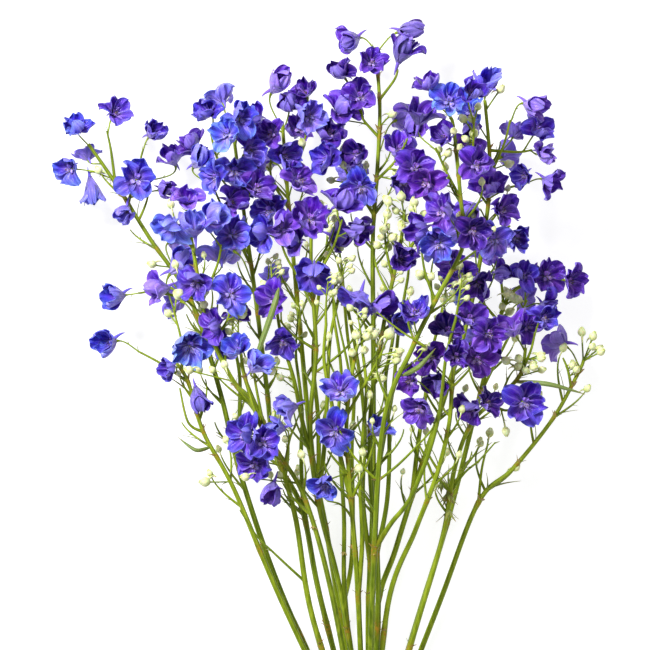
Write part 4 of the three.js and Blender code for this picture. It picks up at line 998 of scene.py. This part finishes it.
def add_shoot(greens, buds, side, radius, reach, draw):
    """The thin end that a fork or branch runs out in, with a few small buds on short stalks."""
    tip, ahead = side[-1], unit(side[-1] - side[-3])
    bend = unit(ahead + vec(0.9 * (next(draw) - 0.5), 0.5, 0.5 * (next(draw) - 0.5)))
    end = tip + 0.4 * reach * ahead + 0.6 * reach * bend
    path = arc(tip - 2 * ahead, tip + 0.3 * reach * ahead, end - 0.3 * reach * bend, end, 14)
    t = np.linspace(0, 1, len(path))
    hue = next(draw)
    tone = beside(hue, 0, 0.5 + 0.3 * t)
    add_tube(greens, path, mix(radius, 0.5, t), 8, STALK, tone, ribs=TWIG_RIBS)
    for i, length in SHOOT_BUDS:
        aim = (next(draw) - 0.5) * 2
        aside = math.copysign(0.7 + 0.4 * next(draw), aim)
        out = unit(unit(path[i + 1] - path[i]) + vec(aside, 0.1, aim * 0.5))
        root, base = path[i], path[i] + (length + 4 * next(draw)) * out
        stalk = arc(root, mix(root, base, 0.4) + out, base - out, base, 4)
        add_tube(greens, stalk, 0.5, 5, STALK, tone[0])
        add_bract(greens, root, path[i + 1] - path[i], 4, next(draw) * TURN, hue)
        add_bud(buds, {"base": base, "frame": frame_along(out), "size": 4.5 + 2.5 * next(draw)}, draw)


TWIG_LOW, TWIG_HIGH, TWIG_GAP = 130, 480, 26
TWIG_END = 25  # no twig so near to the tip of its stem
TWIG_REACH, TWIG_LEAF = (26, 26), (18, 24)  # the least, and how much more at random
TWIG_BUDS = 0.6  # the share of twigs that end in a bud


def add_twigs(greens, buds, stem, draw):
    """Thin side shoots and narrow leaves along a stem, up among the florets."""
    hue, hand = next(draw), 1
    for y in range(TWIG_LOW, TWIG_HIGH, TWIG_GAP):
        y = y + TWIG_GAP * next(draw)
        if y > stem[-1][1] - TWIG_END:
            return
        hand = -hand
        i = int(np.argmin(np.abs(stem[:, 1] - y)))
        ahead = unit(stem[i + 1] - stem[i - 1])
        out = unit(ahead + vec(hand * (0.45 + 0.55 * next(draw)), 0, 0.8 * (next(draw) - 0.5)))
        reach = TWIG_REACH[0] + TWIG_REACH[1] * next(draw)
        end = stem[i] + reach * unit(out + 0.4 * ahead)
        path = arc(stem[i], stem[i] + 0.35 * reach * out, end - 0.3 * reach * ahead, end, 12)
        t = np.linspace(0, 1, len(path))
        tone = beside(hue, np.exp(-t * 10), 0.35 + 0.4 * t)
        add_tube(greens, path, mix(1.45, 0.65, t), 7, STALK, tone, ribs=TWIG_RIBS)
        leaf = TWIG_LEAF[0] + TWIG_LEAF[1] * next(draw)
        add_bract(greens, stem[i], ahead, leaf, math.pi * (0.5 - 0.5 * hand) + next(draw) - 0.5, hue, 1.9)
        add_bract(greens, path[6], path[7] - path[5], 7 + 5 * next(draw), next(draw) * TURN, hue, 0.8)
        if next(draw) < TWIG_BUDS:
            around = frame_along(unit(path[-1] - path[-2]))
            add_bud(buds, {"base": path[-1], "frame": around, "size": 5 + 3 * next(draw)}, draw)


TUFT_BRACTS = 7


def add_tuft(shell, root, length, dry, draw):
    """A whorl of curled bracts, more or less withered."""
    for k in range(TUFT_BRACTS):
        turn = TURN * (k + 0.6 * next(draw)) / TUFT_BRACTS
        ahead, reach = vec(0, 0.2 - next(draw), 0), length * (0.7 + 0.6 * next(draw))
        shade = dry * (0.6 + 0.4 * next(draw))
        wide = 0.7 + 0.06 * length + 0.8 * dry
        add_bract(shell, root, ahead, reach, turn, next(draw), wide, shade)


def add_sprig(shell, entry, route, draw):
    """A thin bare side branch, which comes forward a little as it grows."""
    seat = nearest(entry["main"], vec(*route[0], depth_at(entry["stem"], route[0][1])))
    path = [vec(x, y, seat[2] + SPRIG_RISE * (i + 1)) for i, (x, y) in enumerate(route[1:])]
    path = smooth([seat, *path], 6)
    t = np.linspace(0, 1, len(path))
    hue = next(draw)
    tone = beside(hue, np.exp(-t * 14), 0.3 + 0.4 * t)
    add_tube(shell, path, mix(1.5, 0.7, t), 7, STALK, tone, ribs=TWIG_RIBS)
    add_bract(shell, path[0], path[2] - path[0], 9, next(draw) * TURN, hue, 1.8, 0.8)
    for i in (len(path) // 2, len(path) - 2):
        length = 7 + 6 * next(draw)
        add_bract(shell, path[i], path[i + 1] - path[i - 1], length, next(draw) * TURN, hue, 0.8)


# the rings of a cut end: how far each lies out from the cut, and its share of the stem's radius
CUT_ROWS = ((0.0, 0.98), (0.45, 0.98), (0.5, 0.9), (0.35, 0.62), (-0.9, 0.5))


def add_cut_end(shell, fine, radius):
    """A pale rim and a soft white pith on the cut face."""
    along = unit(fine[0] - fine[1])
    side = unit(np.cross(along, vec(0, 0, 1)))
    ring = circle(turns(STEM_SIDES), side, np.cross(side, along))
    points = [fine[0] + out * along + share * radius * ring for out, share in CUT_ROWS]
    points = np.concatenate(points + [[fine[0] + CUT_ROWS[-1][0] * along]])
    k = np.arange(STEM_SIDES)
    ahead, end, middle = (k + 1) % STEM_SIDES, len(points) - 1 - STEM_SIDES, len(points) - 1
    caps = np.concatenate([beside(end + k, end + ahead, middle), beside(ahead, k, middle)])
    reach = np.append(np.repeat([share for _, share in CUT_ROWS], STEM_SIDES), 0)
    faces = [tube_faces(len(CUT_ROWS), STEM_SIDES)[0], caps]
    shell.add(points, faces, CUT, (0, 0, 0), beside(reach, 0, 0))


# ---- the band ------------------------------------------------------------------------------------------
BAND_CORNERS = ((1.5, 0), (2, 1), (1, 3), (-1, 3), (-2, 1), (-1.5, 0))  # column and row
BAND_TURNS = 4
BAND_STEPS, BAND_SECTION = 5, 12  # steps round a corner, and round the section
BAND_TALL = 0.74  # half the thickness
BAND_FILL = 0.46  # half the width of a turn, over the pitch
BAND_SWAY, BAND_ROUND = 0.12, 0.45


def band_outline(radius):
    """The hull of the bundle's corners, grown by a radius, as points x, z."""
    corners = [np.array([column * PITCH, row_z(row)]) for column, row in BAND_CORNERS]
    outline = []
    for i, corner in enumerate(corners):
        before, after = corners[i - 1], corners[(i + 1) % len(corners)]
        turn0 = math.atan2(corner[1] - before[1], corner[0] - before[0]) - math.pi / 2
        turn1 = math.atan2(after[1] - corner[1], after[0] - corner[0]) - math.pi / 2
        while turn1 < turn0:
            turn1 += 2 * math.pi
        for k in range(BAND_STEPS + 1):
            turn = mix(turn0, turn1, k / BAND_STEPS)
            outline.append(corner + radius * np.array([math.cos(turn), math.sin(turn)]))
        start, end = outline[-1], after + radius * np.array([math.cos(turn1), math.sin(turn1)])
        outline += [mix(start, end, k / 4) for k in range(1, 4)]
    return np.array(outline)


def rounded(values):
    """Takes the sines of a circle to those of a square with round corners."""
    return np.sign(values) * np.abs(values) ** BAND_ROUND


def make_band(material):
    """The turns of one flat rubber band, side by side."""
    shell = Shell()
    pitch = BAND_WIDTH / BAND_TURNS
    draw = seeded(SEED * BAND_DRAWS)
    around = turns(BAND_SECTION)
    flat, tall = rounded(np.cos(around)), rounded(np.sin(around))
    for n in range(BAND_TURNS):
        grow = 0.05 * next(draw)
        line = band_outline(STEM_CORNER + STEM_GAP + BAND_THICK / 2 - 0.1 * grow)
        count = len(line)
        phase = next(draw) * TURN
        sway = BAND_SWAY * np.sin(np.linspace(0, 4 * np.pi, count, endpoint=False) + phase)
        y = TIE_Y - BAND_WIDTH / 2 + pitch * (n + 0.5) + sway
        ahead = np.roll(line, -1, axis=0) - np.roll(line, 1, axis=0)
        ahead /= np.linalg.norm(ahead, axis=1)[:, None]
        out = np.column_stack([ahead[:, 1], -ahead[:, 0]])
        points = []
        for i in range(count):
            level = line[i][None] + BAND_TALL * tall[:, None] * out[i][None]
            points.append(np.column_stack([level[:, 0], y[i] + BAND_FILL * pitch * flat, level[:, 1]]))
        i, k = np.meshgrid(np.arange(count), np.arange(BAND_SECTION), indexing="ij")
        here, there = i * BAND_SECTION, (i + 1) % count * BAND_SECTION
        after = (k + 1) % BAND_SECTION
        quads = [(here + k).ravel(), (there + k).ravel(), (there + after).ravel(), (here + after).ravel()]
        shell.add(np.concatenate(points), [np.column_stack(quads)], 0, (0, 0, 0), (0, 0, 0))
    make_piece("band_turns", shell, [material], "rubber_band")


# ---- materials -----------------------------------------------------------------------------------------
class Wire:
    """What a socket gives, a value or a colour, with the sums and blends that the patterns need."""

    def __init__(self, paint, socket):
        self.paint, self.socket = paint, socket

    def math(self, operation, *values):
        return self.paint.math(operation, self, *values)

    def __add__(self, other):
        return self.math("ADD", other)

    def __sub__(self, other):
        return self.math("SUBTRACT", other)

    def __rsub__(self, other):
        return self.paint.math("SUBTRACT", other, self)

    def __mul__(self, other):
        return self.math("MULTIPLY", other)

    def __pow__(self, other):
        return self.math("POWER", other)

    def __abs__(self):
        return self.math("ABSOLUTE")

    def clamped(self):
        self.socket.node.use_clamp = True
        return self

    def span(self, low, high, to_low, to_high):
        """Leads the values from low to high over to those from to_low to to_high."""
        inputs = {"Value": self, 1: low, 2: high, 3: to_low, 4: to_high}
        return self.paint.put("MapRange", inputs, "Result")

    def blend(self, share, other):
        return self.paint.blend(share, self, other)


class Paint:
    """A material with one Principled shader, and short ways to add the nodes of its patterns."""

    def __init__(self, name):
        self.material = bpy.data.materials.new(name)
        self.material.use_nodes = True
        self.tree = self.material.node_tree
        self.shader = self.tree.nodes["Principled BSDF"]

    def put(self, kind, inputs=(), output=0, **settings):
        node = self.tree.nodes.new("ShaderNode" + kind)
        for key, value in settings.items():
            setattr(node, key, value)
        for key, value in dict(inputs).items():
            self.feed(node.inputs[key], value)
        return Wire(self, node.outputs[output])

    def feed(self, socket, value):
        if isinstance(value, Wire):
            self.tree.links.new(value.socket, socket)
        else:
            socket.default_value = (*value, 1) if socket.type == "RGBA" else value

    def split(self, name):
        vector = self.put("Attribute", output="Vector", attribute_name=name)
        parts = self.put("SeparateXYZ", {"Vector": vector}).socket.node.outputs
        return [Wire(self, part) for part in parts]

    def math(self, operation, *values):
        return self.put("Math", dict(enumerate(values)), operation=operation)

    def blend(self, share, first, second):
        return self.put("Mix", {"Factor": share, 6: first, 7: second}, 2, data_type="RGBA")

    def ramp(self, factor, stops):
        colour = self.put("ValToRGB", {"Fac": factor}, "Color")
        elements = colour.socket.node.color_ramp.elements
        for element, (position, shade) in zip(elements, (stops[0], stops[-1])):
            element.position, element.color = position, (*shade, 1)
        for position, shade in stops[1:-1]:
            elements.new(position).color = (*shade, 1)
        return colour

    def noise(self, scale, detail=3.0, stretch=None):
        where = self.put("TexCoord", output="Object")
        if stretch is not None:
            where = self.put("Mapping", {"Vector": where, "Scale": stretch}, "Vector")
        return self.put("TexNoise", {"Vector": where, "Scale": scale, "Detail": detail}, "Fac")

    def finish(self, colour, roughness, relief=None, soft=0.0, **sockets):
        """relief is a height, its strength and its distance; soft is how much light goes through."""
        sockets.update(Base_Color=colour, Roughness=roughness)
        if relief:
            bump = dict(zip(("Height", "Strength", "Distance"), relief))
            sockets["Normal"] = self.put("Bump", bump, "Normal")
        if soft:
            sockets.update(Subsurface_Weight=soft, Subsurface_Scale=SOFT_SCALE)
        for key, value in sockets.items():
            self.feed(self.shader.inputs[key.replace("_", " ")], value)
        return self.material


SOFT_SCALE = 0.002
# From sky blue to purple, in linear light
HUES = [
    (0.0, (0.06, 0.13, 0.88)),
    (0.25, (0.032, 0.036, 0.72)),
    (0.5, (0.052, 0.010, 0.54)),
    (0.75, (0.098, 0.010, 0.50)),
    (1.0, (0.135, 0.012, 0.43)),
]
# the pale blues: the light tone of the sepals, the painted light on the lower sepals and the painted
# highlight on the crests
PALE_HUES = [
    (0.0, (0.22, 0.42, 1.0)),
    (0.35, (0.30, 0.30, 1.0)),
    (0.7, (0.46, 0.25, 0.95)),
    (1.0, (0.52, 0.22, 0.85)),
]
# the deepest blue: the dark tone and the veins of the sepals, and their painted shade in the throat and
# the furrows
DEEP = (0.006, 0.0003, 0.12)
BACK = (0.36, 0.31, 0.86)
WHITE_ROOT = (0.62, 0.56, 0.85)
SPOT = (0.10, 0.09, 0.05)
GLINT = (0.42, 0.30, 1.0)  # what tints the light that a sepal mirrors
EYE_HUES = [(0.0, (0.16, 0.12, 0.72)), (1.0, (0.30, 0.08, 0.55))]
EYE_WHITE = (0.80, 0.76, 0.86)
ANTHER_HUES = [(0.0, (0.03, 0.012, 0.03)), (0.6, (0.06, 0.03, 0.05)), (1.0, (0.42, 0.30, 0.16))]
POLLEN = (0.35, 0.25, 0.16)
STALK_HUES = [(0.0, (0.026, 0.055, 0.001)), (0.5, (0.125, 0.190, 0.004)), (1.0, (0.30, 0.375, 0.018))]
YOUNG_STALK = (0.33, 0.40, 0.03)
BROWN_PATCH = (0.24, 0.20, 0.012)
DARK_STALK, LIME_STALK = (0.055, 0.11, 0.004), (0.30, 0.40, 0.015)
# painted shade for the grooves and painted highlight for the ribs of the stems
GROOVE_SHADE, RIB_HIGHLIGHT = (0.05, 0.10, 0.003), (0.42, 0.50, 0.07)
SCAR = (0.33, 0.17, 0.015)
STALK_GLINT = (0.8, 1.0, 0.25)
LEAF_DARK, LEAF_LIGHT, LEAF_YOUNG = (0.04, 0.10, 0.006), (0.13, 0.21, 0.014), (0.30, 0.38, 0.035)
DRY_DARK, DRY_LIGHT = (0.22, 0.10, 0.015), (0.62, 0.34, 0.08)
LEAF_RIB, LEAF_BACK, LEAF_TIP = (0.36, 0.42, 0.12), (0.22, 0.30, 0.10), (0.25, 0.17, 0.04)
BUD_HUES = [
    (0.0, (0.36, 0.44, 0.06)),
    (0.25, (0.62, 0.68, 0.24)),
    (0.7, (0.82, 0.84, 0.48)),
    (1.0, (0.50, 0.58, 0.12)),
]
BUD_SEAM, BUD_BLUSH, BUD_PALE = (0.36, 0.45, 0.10), (0.45, 0.38, 0.70), (0.62, 0.66, 0.36)
CUT_HUES = [
    (0.0, (0.55, 0.58, 0.32)),
    (0.55, (0.72, 0.74, 0.50)),
    (0.8, (0.40, 0.50, 0.14)),
    (1.0, (0.16, 0.24, 0.03)),
]
PITH_SPECK = (0.45, 0.38, 0.16)
RUBBER_DARK, RUBBER_LIGHT, DUST = (0.46, 0.27, 0.09), (0.62, 0.41, 0.17), (0.70, 0.56, 0.35)
FLOOR_GREY, FLOOR_GLOW = (0.36, 0.36, 0.36), 0.82


def sepal_material():
    paint = Paint("sepal")
    hue, dark, light = paint.split("tone")
    across, along, side = paint.split("place")
    mottle, patch = paint.noise(95.0, 4.0), paint.noise(160.0)
    hue = hue + mottle.span(0.3, 0.7, -0.12, 0.12)
    dark = (dark + patch.span(0.35, 0.65, -0.22, 0.22)).clamped()
    pale = paint.ramp(hue, PALE_HUES)
    # dark and light carry each floret's own tone, and also the painted light on the lower sepals and the
    # painted shade on the upper ones and in the throat
    colour = paint.ramp(hue, HUES).blend(dark, DEEP).blend(light, pale)
    # the pale root of each sepal
    colour = colour.blend(along.span(0.0, 0.3, 0.8, 0.0) * (light + 0.15), WHITE_ROOT)
    # veins fan out from the root, wavering a little, on a few broad ridges
    waver = paint.noise(240.0, 2.0).span(0.0, 1.0, -0.9, 0.9)
    veins = abs((across * 17.0 + waver).math("SINE")) ** 6.0 * along.span(0.1, 0.9, 0.5, 0.12)
    colour = colour.blend(veins, colour.blend(0.75, DEEP))
    bent = paint.noise(70.0, 2.0).span(0.0, 1.0, -2.2, 2.2)
    ridge = (across * 8.0 + bent).math("SINE") * along.span(0.0, 1.0, 1.0, 0.55)
    # painted shade in the furrows between the ridges, on the front
    colour = colour.blend(ridge.span(0.1, -1.0, 0.0, 0.5) * (1.0 - side), DEEP)
    # painted highlight along the crests of the ridges
    colour = colour.blend(ridge.span(0.5, 1.0, 0.0, 0.45) * patch.span(0.4, 0.6, 0.2, 1.0), pale)
    # the outside is paler, most of all along its middle, with a brown-green spot near the end
    colour = colour.blend(side * (1.0 - abs(across)).math("MULTIPLY_ADD", 0.32, 0.2), BACK)
    gap = (across * 0.45) ** 2.0 + (along - 0.9) ** 2.0
    colour = colour.blend(side * gap.span(0.0015, 0.004, 0.85, 0.0), SPOT)
    relief = (veins * -0.5 + paint.noise(900.0) * 0.3 + ridge * 1.2, 0.75, 0.001)
    return paint.finish(
        colour, mottle.span(0.3, 0.7, 0.2, 0.4), relief, 0.12,
        Subsurface_Radius=(0.6, 0.4, 1.0), Specular_IOR_Level=0.6, Specular_Tint=GLINT,
    )


def eye_material():
    paint = Paint("inner_petal")
    hue, _, white = paint.split("tone")
    across, along, _ = paint.split("place")
    tint = paint.ramp(hue, EYE_HUES)
    hair = paint.noise(1100.0, 2.0).span(0.35, 0.65, 0.35, 1.0)
    colour = tint.blend(white * (hair * along.span(0.45, 1.0, 1.0, 0.35)), EYE_WHITE)
    colour = colour.blend(abs(across) * 0.4, tint)
    return paint.finish(colour, 0.55, (paint.noise(1600.0), 0.5, 0.0006), 0.15, Specular_Tint=GLINT)


def anther_material():
    paint = Paint("anther")
    _, pick, _ = paint.split("place")
    grain = paint.noise(2500.0, 2.0)
    colour = paint.ramp(pick, ANTHER_HUES).blend(grain.span(0.4, 0.7, 0.0, 0.5), POLLEN)
    return paint.finish(colour, 0.8, (grain, 0.6, 0.0004))


def stalk_material():
    paint = Paint("stalk")
    hue, scar, young = paint.split("tone")
    rib, _, _ = paint.split("place")
    streak = paint.noise(260.0, 4.0, stretch=(1.0, 0.08, 1.0))
    # paler towards the young tips, and less pale on stems deep in the bunch, which is painted shade
    green = paint.ramp(streak.span(0.3, 0.7, 0.0, 1.0), STALK_HUES).blend(young * 0.6, YOUNG_STALK)
    green = green.blend(paint.noise(30.0).span(0.58, 0.78, 0.0, 0.4), BROWN_PATCH)
    green = green.blend(hue.span(0.4, 1.0, 0.0, 0.5), DARK_STALK)
    green = green.blend(hue.span(0.5, 0.0, 0.0, 0.45), LIME_STALK)
    # painted highlight along the ribs and painted shade in the grooves between them
    green = green.blend(rib.span(0.2, -0.5, 0.0, 0.35) * young, GROOVE_SHADE)
    green = green.blend(rib.span(0.35, 1.0, 0.0, 0.4), RIB_HIGHLIGHT)
    rough = paint.noise(400.0).span(0.4, 0.6, 0.1, 1.0)
    green = green.blend(scar ** 2.0 * rough, SCAR)
    return paint.finish(
        green, streak.span(0.3, 0.7, 0.38, 0.55), (streak, 0.4, 0.001),
        Specular_IOR_Level=0.45, Specular_Tint=STALK_GLINT,
    )


def leaf_material():
    paint = Paint("leaf")
    hue, dry, young = paint.split("tone")
    across, along, side = paint.split("place")
    green = paint.blend(paint.noise(120.0), LEAF_DARK, LEAF_LIGHT).blend(young * 0.8, LEAF_YOUNG)
    green = green.blend(dry, paint.blend(paint.noise(500.0), DRY_DARK, DRY_LIGHT))
    green = green.blend((1.0 - abs(across)) ** 8.0 * 0.6, LEAF_RIB)
    green = green.blend(side * 0.3, LEAF_BACK).blend(along ** 12.0, LEAF_TIP)
    veins = (across * 22.0).math("SINE") + hue * 0.1
    return paint.finish(green, 0.5, (veins, 0.25, 0.0004), 0.1)


def bud_material():
    paint = Paint("bud")
    _, grown, pick = paint.split("tone")
    lobe, along, _ = paint.split("place")
    colour = paint.ramp(along, BUD_HUES).blend(lobe.span(-1.0, -0.5, 0.55, 0.0), BUD_SEAM)
    blush = grown.span(0.85, 1.0, 0.0, 0.35) * along.span(0.5, 1.0, 0.0, 1.0)
    colour = colour.blend(blush, BUD_BLUSH).blend(pick * 0.35, BUD_PALE)
    return paint.finish(colour, 0.6, (paint.noise(1400.0), 0.5, 0.0005), 0.2, Sheen_Weight=0.3)


def cut_material():
    paint = Paint("cut_end")
    reach, _, _ = paint.split("place")
    pith = paint.noise(1800.0)
    colour = paint.ramp(reach, CUT_HUES).blend(pith.span(0.4, 0.7, 0.0, 0.4), PITH_SPECK)
    return paint.finish(colour, 0.75, (pith, 0.7, 0.0006))


def rubber_material():
    paint = Paint("rubber")
    dust = paint.noise(1500.0)
    colour = paint.blend(paint.noise(160.0, 4.0), RUBBER_DARK, RUBBER_LIGHT)
    colour = colour.blend(dust.span(0.55, 0.75, 0.0, 0.4), DUST)
    return paint.finish(colour, dust.span(0.4, 0.7, 0.5, 0.75), (dust, 0.4, 0.0004), 0.15)


def floor_material():
    paint = Paint("floor")
    return paint.finish(FLOOR_GREY, 0.9, Emission_Color=(1, 1, 1), Emission_Strength=FLOOR_GLOW)


# ---- the bunch -----------------------------------------------------------------------------------------
SHOOT_R, SHOOT_REACH = 0.66 * FORK_R, (34, 16)
FLORET_TOP, BUD_TOP = 0.058, 1.1  # how wide a stalk ends: as a share of the floret, and in millimetres

floret_paints = [sepal_material(), eye_material(), anther_material()]
green_paints = [stalk_material(), leaf_material(), cut_material()]
bud_paints = [bud_material()]

for index, (name, stem) in enumerate(STEMS.items()):
    entry = lay_out(index, name, stem)
    draw = seeded(SEED * (index + LOOK_DRAWS))
    florets, greens, buds = Shell(), Shell(), Shell()
    add_stem(greens, entry, draw)
    for bloom, letter in zip(entry["blooms"], stem["tones"] + UNDERSIDE_TONES):
        grown = bloom["size"] * (1 + CROWD_GROWN * crowd(bloom["base"]))
        bloom["size"] = max(bloom["size"], min(grown, CROWD_SIZE))
        hue, dark, light = TONE[letter]
        tone = (hue + (next(draw) - 0.5) * 0.12, dark * (0.8 + 0.4 * next(draw)), light)
        add_floret(florets, bloom, tone, draw)
        add_stalk(greens, entry, bloom, FLORET_TOP * bloom["size"], draw)
    for bud in entry["buds"]:
        add_bud(buds, bud, draw)
        add_stalk(greens, entry, bud, BUD_TOP, draw)
    for leaf in entry["leaves"]:
        add_leaf(greens, leaf, next(draw))
    for fork in entry["forks"]:
        reach = SHOOT_REACH[0] + SHOOT_REACH[1] * next(draw)
        add_shoot(greens, buds, fork, SHOOT_R, reach, draw)
    add_twigs(greens, buds, entry["main"], draw)
    for x, y, length, dry in stem["tuft"]:
        root = nearest(entry["fine"], vec(x, y, depth_at(stem, y)))
        add_tuft(greens, root, length, dry, draw)
    for route in stem["sprig"]:
        add_sprig(greens, entry, route, draw)
    make_piece(name + "_florets", florets, floret_paints, name)
    make_piece(name + "_greens", greens, green_paints, name)
    if buds.count:
        make_piece(name + "_buds", buds, bud_paints, name)
make_band(rubber_material())


# ---- floor, light and camera ---------------------------------------------------------------------------
FLOOR_HALF = 6.0
FLOOR_DROP = 0.0004
PICTURE_MM = 650  # what the picture is across, and the middle of it in the layout
PICTURE_MIDDLE = vec(-43, 325, 80)
CAMERA_FAR = 6.0
CAMERA_CLIP = 100
SENSOR = 36
KEY_LIGHT = {"place": (-1.0, 1.2, 1.7), "size": 0.6, "watts": 78}
FILL_LIGHT = {"place": (1.1, -0.9, 1.9), "size": 1.6, "watts": 8}
WORLD_STRENGTH = 0.36


def make_floor():
    mesh = bpy.data.meshes.new("floor")
    corners = [(-1, -1), (1, -1), (1, 1), (-1, 1)]
    corners = [(x * FLOOR_HALF, y * FLOOR_HALF, -FLOOR_DROP) for x, y in corners]
    mesh.from_pydata(corners, [], [(0, 1, 2, 3)])
    mesh.materials.append(floor_material())
    floor = link("floor", mesh)


def make_light(name, target, place, size, watts):
    light = bpy.data.lights.new(name, "AREA")
    light.shape = "DISK"
    light.size = size
    light.energy = watts
    lamp = link(name, light)
    lamp.location = place
    lamp.rotation_euler = (target - lamp.location).to_track_quat("-Z", "Y").to_euler()


def make_world(strength):
    world = bpy.data.worlds.new("studio")
    world.use_nodes = True
    background = world.node_tree.nodes["Background"].inputs
    background["Color"].default_value = (1, 1, 1, 1)
    background["Strength"].default_value = strength
    bpy.context.scene.world = world


def make_camera():
    middle = PICTURE_MIDDLE * MM + ORIGIN
    data = bpy.data.cameras.new("camera")
    data.sensor_width = SENSOR
    data.lens = SENSOR * CAMERA_FAR / (PICTURE_MM * MM)
    data.clip_end = CAMERA_CLIP
    camera = link("camera", data)
    camera.location = (middle[0], middle[1], middle[2] + CAMERA_FAR)
    bpy.context.scene.camera = camera


make_floor()
target = (cad_box[0] + cad_box[1]) / 2
make_light("key", target, **KEY_LIGHT)
make_light("fill", target, **FILL_LIGHT)
make_world(WORLD_STRENGTH)
make_camera()
bpy.context.scene.view_settings.view_transform = "Standard"
